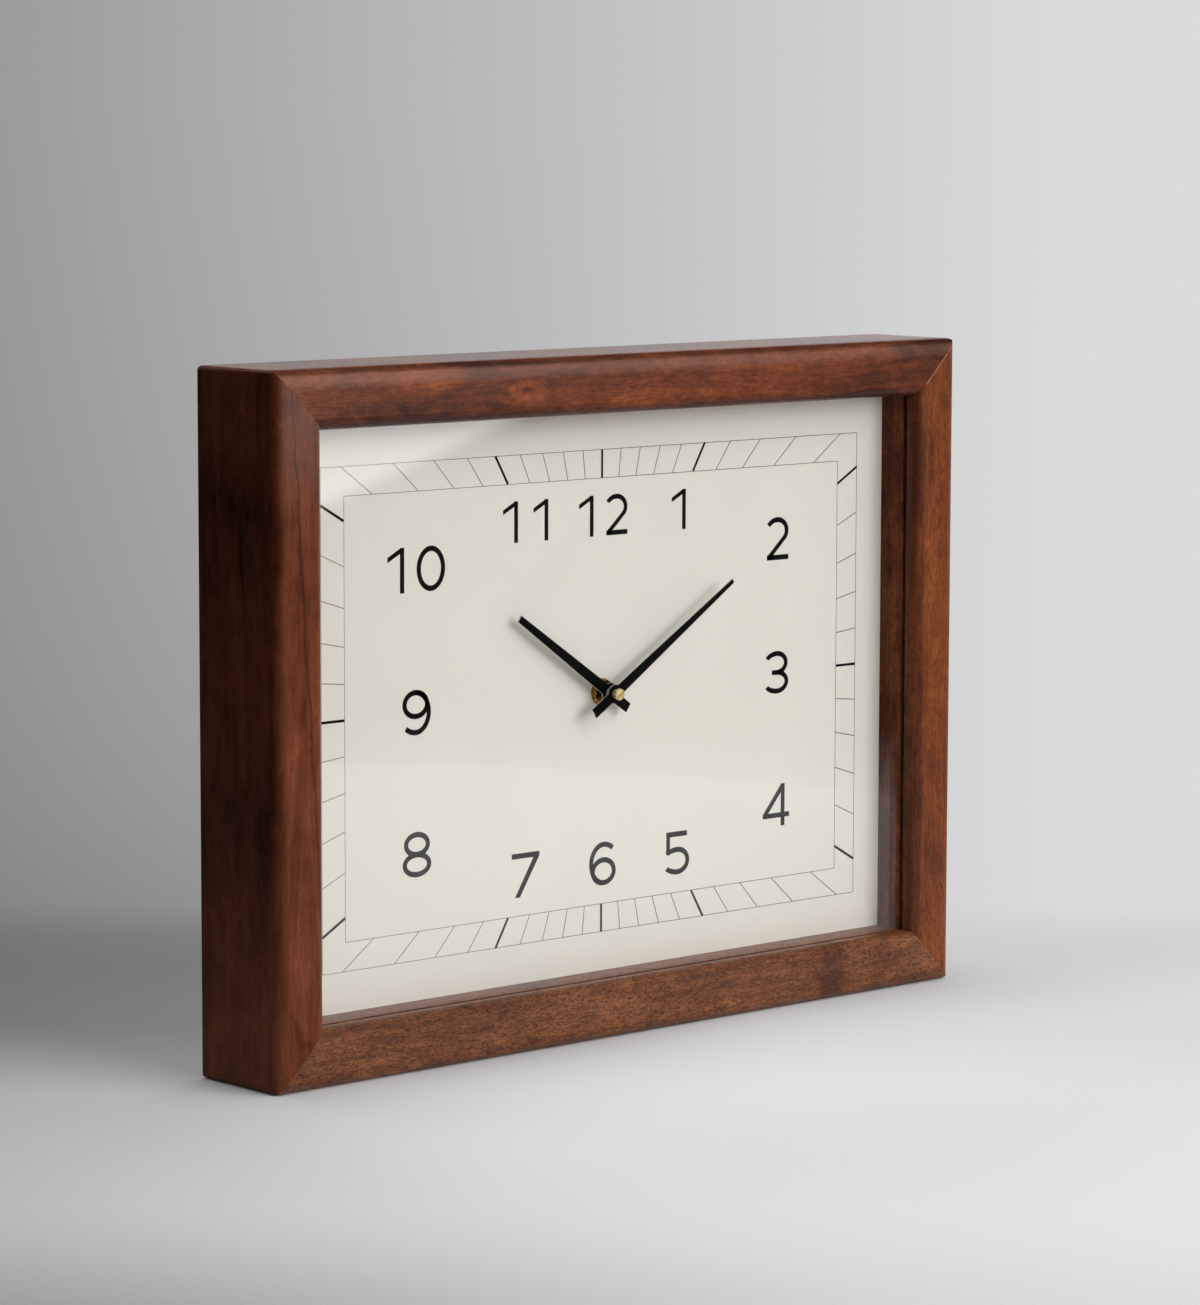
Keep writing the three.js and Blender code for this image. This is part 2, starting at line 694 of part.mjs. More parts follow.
function movementCover() {
  const middleY = coverFrontY + coverThickness / 2;
  const face = roundedRectangle(movementHalf, movementHalf, housingRadius);
  const square = plate(face, coverFrontY, movementDepth);
  const lid = cut(square, box([-far, far], [0, far], [-far, coverHalfZ[0]]));
  const rimOuter = box(
    [rimFit - cavityHalf, cavityHalf - rimFit],
    [coverFrontY - rimHeight, middleY],
    [worksFloorZ + rimFit, cavityHalf - rimFit],
  );
  const inset = rimFit + rimThickness;
  const rimInner = box(
    [inset - cavityHalf, cavityHalf - inset],
    [0, coverFrontY],
    [worksFloorZ + inset, cavityHalf - inset],
  );
  const bearings = [
    [axisCentre, intermediateWheelY[1] + endShake],
    [intermediateCentre, statorY[0] + endShake],
    [rotorCentre, statorY[0] + magnetLength + endShake + layerGap],
  ];
  const bosses = bearings.map(([centre, y]) => at(rod(bossRadius, y, middleY, 12), centre));
  const holes = bearings.map(([centre, y]) => at(pivotHole([y - 1, y + pivotLength]), centre));
  const knobBearing = rod(knobArborRadius + bossRadius, coverFrontY - 2 * coverThickness, middleY);
  const knobHole = rod(knobArborRadius + pivotFit * 2, 0, movementDepth + 1);
  return cut(
    join(lid, cut(rimOuter, rimInner), ...bosses, at(knobBearing, knobCentre)),
    ...holes,
    at(knobHole, knobCentre),
  );
}

add(movement, 'movement_cover', movementCover(), 'blackPlastic');

// Bridge: the middle plate that carries the back pivots of the slow train and the motor.
const statorPostPlaces = [
  [armOuterX[0] + statorArm / 2, statorPostZ],
  [armOuterX[1] - statorArm / 2, statorPostZ],
];
const circuitPostPlaces = [
  [circuitX[0] + circuitArm.width, circuitZ[0] + circuitPostInset],
  [circuitX[1] - circuitPostInset, circuitZ[0] + circuitPostInset],
  [circuitX[1] - circuitPostInset, circuitZ[1] - circuitPostInset],
];

function trainBridge() {
  const base = box(
    [bridgeEdge - cavityHalf, cavityHalf - bridgeEdge],
    bridgeY,
    [worksFloorZ + bridgeEdge, cavityHalf - bridgeEdge],
  );
  const foot = bridgeY[1] - bridgeThickness / 2;
  const pass = [bridgeY[0] - 1, bridgeY[1] + 1];
  return cut(
    join(
      base,
      ...statorPostPlaces.map((place) => at(rod(postRadius, foot, statorY[0], 12), place)),
      ...circuitPostPlaces.map((place) => at(rod(postRadius, foot, circuitY[0], 12), place)),
    ),
    rod(wheelArborRadius + layerGap, ...pass, 12),
    ...[thirdCentre, intermediateCentre, rotorCentre].map((centre) => at(pivotHole(pass), centre)),
    at(rod(knobArborRadius + endShake, ...pass), knobCentre),
  );
}

add(movement, 'train_bridge', trainBridge(), 'whitePlastic');

// Fastening through the dial
const dialFaceY = dialFrontY - movementFrontY;
const washerY = [dialFaceY - washerThickness, dialFaceY];
const nutY = [washerY[0] - nutThickness, washerY[0]];
const bushEndY = nutY[0] - bushProud;

function mountingBush() {
  const flangeY = frontWall + bushFlangeThickness;
  return turned([
    [bushBore, bushEndY], [bushRadius, bushEndY], [bushRadius, frontWall], [bushFlangeRadius, frontWall],
    [bushFlangeRadius, flangeY], [bushBore, flangeY], [bushBore, bushEndY],
  ]);
}

function mountingNut() {
  const corners = [0, 1, 2, 3, 4, 5].map((corner) => polar(nutAcrossFlats / Math.sqrt(3), 60 * corner + 30));
  const chamfer = turned([
    [0, nutY[0]], [nutAcrossFlats / 2, nutY[0]], [nutAcrossFlats / Math.sqrt(3), nutY[0] + nutThickness / 3],
    [nutAcrossFlats / Math.sqrt(3) + 1, nutY[1] + 1], [0, nutY[1] + 1],
  ], 24);
  const bore = rod(bushRadius + bushFit, nutY[0] - 1, nutY[1] + 1);
  return cut(plate(outline(corners), ...nutY).intersect(chamfer), bore);
}

add(movement, 'mounting_bush', mountingBush(), 'brass');
add(movement, 'rubber_washer', ring(rubberRadius, bushRadius + bushFit, -rubberThickness, 0), 'rubber');
add(movement, 'brass_washer', ring(washerRadius, bushRadius + bushFit, ...washerY), 'brass');
add(movement, 'mounting_nut', mountingNut(), 'brass');

// Hands: tapered batons with a round hub and a collet behind, drawn at twelve and turned to the time.
function handOutline(hand) {
  return outline([
    [-hand.tip / 2, hand.length], [-hand.root / 2, hand.hub],
    [-hand.root / 2, -hand.hub], [-hand.tailEnd / 2, -hand.tail],
    [hand.tailEnd / 2, -hand.tail], [hand.root / 2, -hand.hub],
    [hand.root / 2, hand.hub], [hand.tip / 2, hand.length],
  ]);
}

function handSolid(hand, boreRadius, colletBore) {
  const bladeY = [dialFaceY - hand.lift - handThickness, dialFaceY - hand.lift];
  const colletY = [bladeY[1] - handThickness / 2, bladeY[1] + hand.collet];
  const blade = join(plate(handOutline(hand), ...bladeY), rod(hand.hub, ...bladeY, 24));
  const bore = rod(boreRadius, bladeY[0] - 1, colletY[1] + 1);
  return cut(join(blade, rod(colletRadius, ...colletY)), bore, colletBore);
}

const minuteAngle = restMinute / 60 * tau;
const hourAngle = (restHour + restMinute / 60) / 12 * tau;
const hourBladeFrontY = dialFaceY - hourHand.lift - handThickness;
const minuteBladeBackY = dialFaceY - minuteHand.lift;
const minuteBladeFrontY = minuteBladeBackY - handThickness;
const nutHeadFrontY = minuteBladeFrontY - nutNeckLength - nutHeadHeight;

const hourTubeBore = rod(tubeRadius + arborFit, -far, 0);
const minuteColletBore = rod(arborRadius + arborFit, minuteBladeBackY, 0);
const hourHandSolid = handSolid(hourHand, tubeRadius + arborFit, hourTubeBore);
const minuteHandSolid = handSolid(minuteHand, arborEndRadius + arborFit, minuteColletBore);
add(movement, 'hour_hand', hourHandSolid, 'blackPaint').rotation.y = hourAngle;
add(movement, 'minute_hand', minuteHandSolid, 'blackPaint').rotation.y = minuteAngle;

function hourWheel() {
  const tube = ring(tubeRadius, tubeBore, hourBladeFrontY - tubeProud, hourWheelY[1]);
  return join(cut(gear(hourTeeth, ...hourWheelY), rod(tubeRadius - arborFit, -far, far)), tube);
}

const arborEndY = nutHeadFrontY + nutHeadHeight;
const secondsPivotY = centreWheelY[1] + pinionProud;

function minuteArbor() {
  const shaft = turned([
    [0, arborEndY], [arborEndRadius, arborEndY], [arborEndRadius, minuteBladeBackY],
    [arborRadius, minuteBladeBackY], [arborRadius, secondsPivotY], [0, secondsPivotY],
  ]);
  const bearing = rod(pivotRadius + pivotFit, secondsPivotY - pivotLength - endShake, far, 12);
  return cut(join(shaft, gear(cannonPinion, ...proud(motionWheelY))), bearing);
}

function handNut() {
  const bore = arborEndRadius + arborFit;
  const headBackY = nutHeadFrontY + nutHeadHeight;
  return turned([
    [0, nutHeadFrontY], [nutHeadRadius - nutHeadRound, nutHeadFrontY],
    [nutHeadRadius, nutHeadFrontY + nutHeadRound], [nutHeadRadius, headBackY],
    [nutNeckRadius, headBackY], [nutNeckRadius, minuteBladeFrontY],
    [bore, minuteBladeFrontY], [bore, arborEndY - arborFit], [0, arborEndY - arborFit],
  ]);
}

add(movement, 'hour_wheel', hourWheel(), 'whitePlastic');
add(movement, 'minute_arbor', minuteArbor(), 'brass');
add(movement, 'hand_nut', handNut(), 'brass');

// Motion work and train
function place([x, z]) {
  return [x, 0, z];
}

function motionWheel() {
  const pinionY = [hourWheelY[0] - pinionProud, motionWheelY[0] + wheelThickness / 2];
  const bore = rod(studRadius + studFit, 0, far, 12);
  return cut(join(gear(motionPinion, ...pinionY), gear(motionTeeth, ...motionWheelY)), bore);
}

function centreWheel() {
  const hub = rod(arborRadius + 2 * studFit + arborFit, ...proud(centreWheelY));
  return cut(join(gear(centreTeeth, ...centreWheelY), hub), rod(arborRadius + arborFit, 0, far));
}

// An arbor with a slimmer pivot at each end.
function pivotedArbor(shoulderFront, shoulderBack) {
  return turned([
    [0, shoulderFront - pivotLength], [pivotRadius, shoulderFront - pivotLength],
    [pivotRadius, shoulderFront],
    [wheelArborRadius, shoulderFront], [wheelArborRadius, shoulderBack],
    [pivotRadius, shoulderBack], [pivotRadius, shoulderBack + pivotLength - endShake],
    [0, shoulderBack + pivotLength - endShake],
  ], 10);
}

function thirdWheel() {
  const shoulders = [centreWheelY[0] - layerGap, bridgeY[0] - endShake / 2];
  return join(
    pivotedArbor(...shoulders),
    gear(thirdPinion, ...proud(centreWheelY)),
    gear(thirdTeeth, ...thirdWheelY),
  );
}

function secondsWheel() {
  const shoulders = [secondsPivotY + endShake / 2, intermediateWheelY[1]];
  return join(
    pivotedArbor(...shoulders),
    gear(secondsPinion, ...proud(thirdWheelY)),
    gear(secondsTeeth, ...secondsWheelY),
  );
}

function intermediateWheel() {
  const shoulders = [bridgeY[1] + endShake / 2, statorY[0]];
  return join(
    pivotedArbor(...shoulders),
    gear(intermediatePinion, ...proud(secondsWheelY)),
    gear(intermediateTeeth, ...intermediateWheelY),
  );
}

const magnetY = [statorY[0] - pinionProud, statorY[0] - pinionProud + magnetLength];

function rotorPinionSolid() {
  const shoulders = [bridgeY[1] + endShake / 2, magnetY[1] + layerGap];
  return join(pivotedArbor(...shoulders), gear(rotorPinion, ...proud(intermediateWheelY)));
}

add(movement, 'motion_wheel', motionWheel(), 'whitePlastic', place(motionCentre));
add(movement, 'centre_wheel', centreWheel(), 'whitePlastic');
add(movement, 'third_wheel', thirdWheel(), 'whitePlastic', place(thirdCentre));
add(movement, 'seconds_wheel', secondsWheel(), 'whitePlastic');
add(movement, 'intermediate_wheel', intermediateWheel(), 'whitePlastic', place(intermediateCentre));
add(movement, 'rotor_pinion', rotorPinionSolid(), 'whitePlastic', place(rotorCentre));
const magnet = ring(magnetRadius, wheelArborRadius + arborFit, ...magnetY);
add(movement, 'rotor_magnet', magnet, 'ferrite', place(rotorCentre));

// Motor: a one-piece stator round the rotor, bridged by the coil's core.
const coreTopZ = coilHeight + coilCoreWidth / 2;
const poleHalf = magnetRadius + rotorGap + poleMargin;
const poleX = rotorCentre[0] + magnetRadius + rotorGap + statorArm;
const yokeLowZ = rotorCentre[1] + rotorGap;

function stator() {
  const [left, right] = armOuterX;
  const lowZ = rotorCentre[1] - poleHalf;
  const highZ = rotorCentre[1] + poleHalf;
  const body = plate(outline([
    [left, lowZ], [poleX, lowZ], [poleX, yokeLowZ], [right, yokeLowZ], [right, coreTopZ],
    [right - statorArm, coreTopZ], [right - statorArm, highZ], [left + statorArm, highZ],
    [left + statorArm, coreTopZ], [left, coreTopZ],
  ]), ...statorY);
  return cut(body, at(rod(magnetRadius + rotorGap, 0, far), rotorCentre));
}

function coilCore() {
  return box(armOuterX, coreY, [coilHeight - coilCoreWidth / 2, coreTopZ]);
}

function alongCoil(profile) {
  return alongX(turned(profile, 20)).translate([0, coilCentreY, coilHeight]);
}

function coilBobbin() {
  const [left, right] = coilX;
  const innerLeft = left + bobbinFlangeThickness;
  const innerRight = right - bobbinFlangeThickness;
  const spool = alongCoil([
    [0, left], [bobbinFlangeRadius, left], [bobbinFlangeRadius, innerLeft], [bobbinRadius, innerLeft],
    [bobbinRadius, innerRight], [bobbinFlangeRadius, innerRight], [bobbinFlangeRadius, right], [0, right],
  ]);
  const slot = box(
    [left - 1, right + 1],
    [coreY[0] - windingFit, coreY[1] + windingFit],
    [coilHeight - coilCoreWidth / 2 - windingFit, coreTopZ + windingFit],
  );
  return cut(spool, slot);
}

function coilWinding() {
  const left = coilX[0] + bobbinFlangeThickness + windingFit;
  const right = coilX[1] - bobbinFlangeThickness - windingFit;
  const inner = bobbinRadius + windingFit;
  return alongCoil([
    [windingRadius, left], [windingRadius, right], [inner, right], [inner, left], [windingRadius, left],
  ]);
}

add(movement, 'stator', stator(), 'castIron');
add(movement, 'coil_core', coilCore(), 'castIron');
add(movement, 'coil_bobbin', coilBobbin(), 'whitePlastic');
add(movement, 'coil_winding', coilWinding(), 'copper');

// Circuit board with its chip and quartz crystal
function circuitBoard() {
  return plate(outline([
    [circuitX[0], circuitZ[0]], [circuitX[1], circuitZ[0]], [circuitX[1], circuitZ[1]],
    [circuitX[0] + circuitArm.width, circuitZ[1]], [circuitX[0] + circuitArm.width, circuitArm.top],
    [circuitX[0], circuitArm.top],
  ]), ...circuitY);
}

function quartzCrystal() {
  const can = rod(crystalRadius, crystalPlace[0], crystalPlace[0] + crystalLength, 12);
  return alongX(can).translate([0, circuitY[0] - crystalRadius - contactFit, crystalPlace[1]]);
}

function controlChip() {
  const y = circuitY[0] - chipHeight;
  return turned([
    [0, y], [chipRadius / 2, y], [chipRadius, y + chipHeight / 2],
    [chipRadius, circuitY[0]], [0, circuitY[0]],
  ], 12);
}

add(movement, 'circuit_board', circuitBoard(), 'circuit');
add(movement, 'quartz_crystal', quartzCrystal(), 'steel');
add(movement, 'control_chip', controlChip(), 'blackPlastic', place(chipPlace));

// Cell and the two contacts at the ends of its bay
const cellRightX = cavityHalf - contactThickness - contactFit;
const cellLeftX = cellRightX - cellLength;
const contactZ = [bayCentreZ - contactHeight / 2, bayCentreZ + contactHeight / 2];
const contactY = [cellCentreY - contactDepth / 2, cellCentreY + contactDepth / 2];
const tailTopZ = worksFloorZ + tailRise;

function cell() {
  const bodyRight = cellRightX - cellNubLength;
  const radius = cellDiameter / 2;
  const body = turned([
    [0, cellLeftX], [radius - cellEdge, cellLeftX], [radius, cellLeftX + cellEdge],
    [radius, bodyRight - cellEdge], [radius - cellEdge, bodyRight], [cellNubRadius, bodyRight],
    [cellNubRadius, cellRightX], [0, cellRightX],
  ], 24);
  return alongX(body).translate([0, cellCentreY, bayCentreZ]);
}

function contactPositive() {
  const blade = box([cavityHalf - contactThickness, cavityHalf], contactY, contactZ);
  const tail = box([cavityHalf - contactThickness, cavityHalf], tailY, [bayCentreZ, tailTopZ]);
  const foot = box(
    [circuitX[1] - contactFoot, cavityHalf],
    [tailY[0], circuitY[0] - contactFit],
    [tailTopZ - contactThickness, tailTopZ],
  );
  return join(blade, tail, foot);
}

function contactNegative() {
  const wallX = -cavityHalf;
  const blade = box([wallX, wallX + contactThickness], contactY, contactZ);
  const tail = box([wallX, wallX + contactThickness], tailY, [bayCentreZ, worksFloorZ + contactThickness]);
  const floorZ = worksFloorZ + contactFit;
  const footX = [circuitX[0], circuitX[0] + contactFoot];
  const run = box([wallX, footX[1]], tailY, [floorZ, floorZ + contactThickness]);
  const foot = box(footX, [tailY[0], circuitY[0] - contactFit], [floorZ, circuitZ[0] + contactFoot]);
  const crest = cellLeftX - contactFit;
  const root = wallX + contactThickness / 2;
  const back = crest - contactThickness;
  const inner = leafCrest - contactThickness / 2;
  const leaf = plate(outline([
    [crest, bayCentreZ + leafCrest], [crest, bayCentreZ - leafCrest],
    [root + 2 * contactThickness, contactZ[0] + leafFreeEnd],
    [root + contactThickness, contactZ[0] + leafFreeEnd + contactThickness],
    [back, bayCentreZ - inner], [back, bayCentreZ + inner],
    [root, contactZ[1] - leafFreeEnd], [root, contactZ[1] - leafFixedEnd],
  ]), cellCentreY - leafDepth / 2, cellCentreY + leafDepth / 2);
  return join(blade, tail, run, foot, leaf);
}

add(movement, 'battery', cell(), 'cellJacket');
add(movement, 'contact_positive', contactPositive(), 'steel');
add(movement, 'contact_negative', contactNegative(), 'steel');

// Setting knob: it turns the motion wheel and so both hands.
function settingKnob() {
  const pivotY = motionWheelY[0] - layerGap + endShake / 2;
  const headY = [movementDepth + knobGap, movementDepth + knobGap + knobLength];
  const ridges = { ...wheel(knobRidges, 2 * knobRadius / knobRidges), tooth: knobRidge };
  const shaft = turned([
    [0, pivotY - pivotLength], [pivotRadius, pivotY - pivotLength], [pivotRadius, pivotY],
    [knobArborRadius, pivotY], [knobArborRadius, headY[0] + 1], [0, headY[0] + 1],
  ]);
  const grip = plate(gearOutline(ridges), headY[0], headY[1] - knobEdge);
  const face = rod(knobRadius - knobEdge, headY[0] + 1, headY[1]);
  return join(shaft, gear(knobPinion, ...proud(motionWheelY)), grip, face);
}

add(movement, 'setting_knob', settingKnob(), 'whitePlastic', place(knobCentre));

export default clock;
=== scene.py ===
import math

import bmesh
import bpy
from mathutils import Matrix, Vector


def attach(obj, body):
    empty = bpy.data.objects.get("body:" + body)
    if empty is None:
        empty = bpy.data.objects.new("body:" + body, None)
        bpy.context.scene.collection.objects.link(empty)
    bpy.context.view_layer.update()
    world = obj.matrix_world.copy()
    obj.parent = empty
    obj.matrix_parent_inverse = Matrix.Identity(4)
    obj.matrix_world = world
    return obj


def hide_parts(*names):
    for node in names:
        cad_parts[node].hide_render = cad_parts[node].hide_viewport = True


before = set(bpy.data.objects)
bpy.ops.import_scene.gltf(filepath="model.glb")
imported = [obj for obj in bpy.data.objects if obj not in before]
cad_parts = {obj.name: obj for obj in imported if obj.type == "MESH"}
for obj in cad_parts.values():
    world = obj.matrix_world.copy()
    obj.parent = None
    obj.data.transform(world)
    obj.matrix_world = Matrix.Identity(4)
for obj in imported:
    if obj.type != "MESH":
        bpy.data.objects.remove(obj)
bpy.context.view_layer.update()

scene = bpy.context.scene
mm = 0.001  # pieces are drawn in millimetres and scaled when they are closed

case = {
    "width": 406.4, "depth": 53.2, "height": 304.8,
    "railWidth": 25.9, "lipWidth": 7.0, "lipDepth": 7.4,
    "outerRound": 5.5, "innerRound": 5.0, "cornerRound": 3.0,
    "backArris": 0.8, "lipArris": 0.4, "mitreLine": 0.012, "openMitre": 0.3,
}
frontY = -case["depth"] / 2
backY = case["depth"] / 2
middleZ = case["height"] / 2
dialY = frontY + 23.6
dialCentre = Vector((0, dialY, middleZ))


# Shader sums: a wire is one output of a node, and sums on it add Math nodes
class Wire:
    def __init__(self, shader, socket):
        self.shader = shader
        self.socket = socket

    def __add__(self, other):
        return self.shader.math("ADD", self, other)

    def __radd__(self, other):
        return self.shader.math("ADD", other, self)

    def __sub__(self, other):
        return self.shader.math("SUBTRACT", self, other)

    def __rsub__(self, other):
        return self.shader.math("SUBTRACT", other, self)

    def __mul__(self, other):
        return self.shader.math("MULTIPLY", self, other)

    def __truediv__(self, other):
        return self.shader.math("DIVIDE", self, other)


class Shader:
    def __init__(self, tree):
        self.tree = tree
        tree.nodes.clear()

    def node(self, kind, settings=None, sockets=None, output=0):  # any node, its settings first
        made = self.tree.nodes.new(kind)
        for key, value in (settings or {}).items():
            if key == "stops":
                self.setStops(made.color_ramp, value)
            else:
                setattr(made, key, value)
        for key, value in (sockets or {}).items():
            if isinstance(value, Wire):
                self.tree.links.new(value.socket, made.inputs[key])
            else:
                made.inputs[key].default_value = value
        if isinstance(output, tuple):
            return [Wire(self, made.outputs[key]) for key in output]
        return Wire(self, made.outputs[output])

    def setStops(self, ramp, stops):
        while len(ramp.elements) < len(stops):
            ramp.elements.new(0.5)
        for element, (place, colour) in zip(ramp.elements, stops):
            element.position = place
            element.color = colour

    def ramp(self, value, stops):
        return self.node("ShaderNodeValToRGB", {"stops": stops}, {0: value})

    def noise(self, vector, scale, detail=3.0, roughness=0.5, distortion=0.0):
        sockets = {"Vector": vector, "Scale": scale, "Detail": detail, "Roughness": roughness,
                   "Distortion": distortion}
        return self.node("ShaderNodeTexNoise", None, sockets)

    def rise(self, value, low, high, out=(0.0, 1.0)):  # a smooth step between two values
        sockets = {0: value, 1: low, 2: high, 3: out[0], 4: out[1]}
        return self.node("ShaderNodeMapRange", {"interpolation_type": "SMOOTHSTEP"}, sockets)

    def mix(self, share, first, second, how="MIX"):
        sockets = {0: share, 6: first, 7: second}
        return self.node("ShaderNodeMix", {"data_type": "RGBA", "blend_type": how}, sockets, 2)

    def vector(self, *parts):
        return self.node("ShaderNodeCombineXYZ", None, dict(enumerate(parts)))

    def place(self, scale=1.0 / mm):  # object coordinates in millimetres
        coordinates = self.node("ShaderNodeTexCoord", None, None, "Object")
        return self.node("ShaderNodeVectorMath", {"operation": "SCALE"}, {0: coordinates, "Scale": scale})

    def parts(self, vector):
        return self.node("ShaderNodeSeparateXYZ", None, {0: vector}, ("X", "Y", "Z"))

    def bump(self, height, strength, distance):
        sockets = {"Height": height, "Strength": strength, "Distance": distance}
        return self.node("ShaderNodeBump", None, sockets)

    def math(self, operation, *values):
        return self.node("ShaderNodeMath", {"operation": operation}, dict(enumerate(values)))

    def larger(self, first, second):
        return self.math("MAXIMUM", first, second)

    def times(self, colour, level):
        return self.mix(1.0, colour, self.vector(level, level, level), "MULTIPLY")

    def surface(self, sockets):
        shaded = self.node("ShaderNodeBsdfPrincipled", None, sockets)
        self.node("ShaderNodeOutputMaterial", None, {"Surface": shaded}, ())


def newShader(name):
    material = bpy.data.materials.new(name)
    material.use_nodes = True
    return material, Shader(material.node_tree)


def plain(red, green, blue, alpha=1.0):  # a colour as it is seen, 0 to 255, made linear
    def linear(value):
        value /= 255
        return value / 12.92 if value <= 0.04045 else ((value + 0.055) / 1.055) ** 2.4
    return linear(red), linear(green), linear(blue), alpha


# Materials
def woodMaterial(name, look):
    material, shader = newShader(name)
    x, y, z = shader.parts(shader.place())
    along, across = (x, z) if look["grain"] == "x" else (z, x)
    seed = look["seed"]

    def reach(spot, size):  # 0 in the middle of an oval, 1 on its edge
        aside, away = (across - spot[1]) / size[1], (along - spot[0]) / size[0]
        return shader.math("SQRT", aside * aside + away * away)

    drift = shader.noise(shader.vector(along * 0.012 + seed, across * 0.02, y * 0.02), 1.0, 2.0)
    bent = across + (drift - 0.5) * look["wave"]
    knot = look.get("knot")
    if knot:
        eye = reach(knot["spot"], knot["size"])
        bent = bent - (across - knot["spot"][1]) * shader.rise(eye, 0.2, 2.4, (0.85, 0.0))

    def grain(lengthwise, crosswise, detail=3.0, roughness=0.55, bend=0.0):
        spot = shader.vector(along * lengthwise + seed, bent * crosswise, y * crosswise)
        return shader.noise(spot, 1.0, detail, roughness, bend)

    mottle = shader.noise(shader.vector(along * 0.05 + seed, across * 0.08, y * 0.08), 1.0, 4.0, 0.55, 1.2)
    cloud = look["cloud"]
    streaks = grain(0.014, look["streak"], 6.0, 0.68, 0.5) * (0.72 - cloud)
    tone = streaks + grain(0.014, 0.05) * 0.28 + mottle * cloud
    for along0, across0, length, height, change in look["patches"]:
        tone = tone + shader.rise(reach((along0, across0), (length, height)), 0.35, 1.1, (change, 0.0))
    colour = shader.ramp(tone, [
        (0.34, plain(*look["deep"])), (0.45, plain(*look["middle"])), (0.54, plain(*look["light"])),
        (0.66, plain(*look["pale"])),
    ])
    fine = grain(0.06, 1.2, 3.0, 0.7)
    colour = shader.times(colour, shader.rise(fine, 0.25, 0.75, look["weave"]))
    if knot:
        ring = shader.math("SINE", eye * 15.0 + mottle * 5.0) * 0.18
        share = shader.rise(eye, 0.65, 1.15, (0.75, 0.0)) * (0.82 + ring)
        colour = shader.mix(share, colour, plain(*knot["eye"]))
        colour = shader.mix(shader.rise(eye, 0.08, 0.55, (0.75, 0.0)), colour, plain(*knot["heart"]))
    seam = look.get("seam")
    if seam:  # a mitre that catches the light outside and gathers dirt inside
        apart = shader.math("ABSOLUTE", x - z + seam["offset"])
        line = shader.mix(shader.rise(z, *seam["turn"]), plain(*look["pore"]), plain(*seam["colour"]))
        colour = shader.mix(shader.rise(apart, 0.25, 0.9, (seam["share"], 0.0)), colour, line)
    vein = look.get("vein")
    if vein:
        (start, startAcross), (end, endAcross) = vein["ends"]
        slope = (endAcross - startAcross) / (end - start)
        path = (along - start) * slope + startAcross + (mottle - 0.5) * 4.0
        away = shader.math("ABSOLUTE", across - path)
        colour = shader.mix(shader.rise(away, 0.2, vein["width"], (0.55, 0.0)), colour, plain(*look["pore"]))
    fleck = grain(look["fleckAlong"], look["fleckAcross"], 2.0, 0.5, look["fleckBend"])
    fleck = shader.rise(fleck, *look["fleckEdge"])
    colour = shader.times(colour, shader.rise(fleck, 0.0, 1.0, look["flecks"]))
    veil = look.get("veil")
    if veil:  # painted sheen and highlight: a pale glow added to the colour along one edge, towards one end
        share = shader.rise(along, *veil["along"]) * shader.rise(across, *veil["across"])
        if "end" in veil:
            share = share * shader.rise(across, *veil["end"], (1.0, 0.0))
        colour = shader.mix(share, colour, veil["glow"], "ADD")
    coat = look["coat"]
    face = look.get("face")
    if face:  # the outer face has its own coat, less at the front rounding, and painted light: lighter on top, darker on the side
        outer = shader.rise({"x": x, "z": z}[face["axis"]], *face["between"])
        coat = outer * shader.rise(y, -25.0, -14.0) * (face["coat"] - coat) + coat
        colour = shader.times(colour, outer * (face["tone"] - 1.0) + 1.0)
    normal = shader.bump(1.0 - fleck * 0.8 + fine * 0.25, look["bump"], look["depth"])
    shader.surface({
        "Base Color": colour, "Roughness": look["roughness"] + fine * 0.10 + fleck * 0.12,
        "Normal": normal, "IOR": 1.5, "Specular IOR Level": look["sheen"],
        "Coat Weight": coat, "Coat Roughness": look["coatRoughness"],
    })
    return material


def glassMaterial():
    material, shader = newShader("clearGlass")
    facing = shader.node("ShaderNodeLayerWeight", None, {"Blend": 0.5}, "Facing")
    steep = facing * facing
    bend = steep * steep * facing * 0.96 + 0.04  # the same from both sides of the pane
    clear = shader.node("ShaderNodeBsdfTransparent", None, {"Color": plain(254, 254, 254)})
    shine = shader.node("ShaderNodeBsdfGlossy", None, {"Color": (1, 1, 1, 1), "Roughness": 0.0})
    both = shader.node("ShaderNodeMixShader", None, {0: bend, 1: clear, 2: shine})
    shader.node("ShaderNodeOutputMaterial", None, {"Surface": both}, ())
    return material


speckles = {
    "mottle": 0.1, "cloud": 0.3, "grain": 4.0, "roughness": (0.5, 0.65), "bump": 0.1, "depth": 0.00002,
    "metallic": 0.0, "specular": 0.5, "coat": 0.0,
}


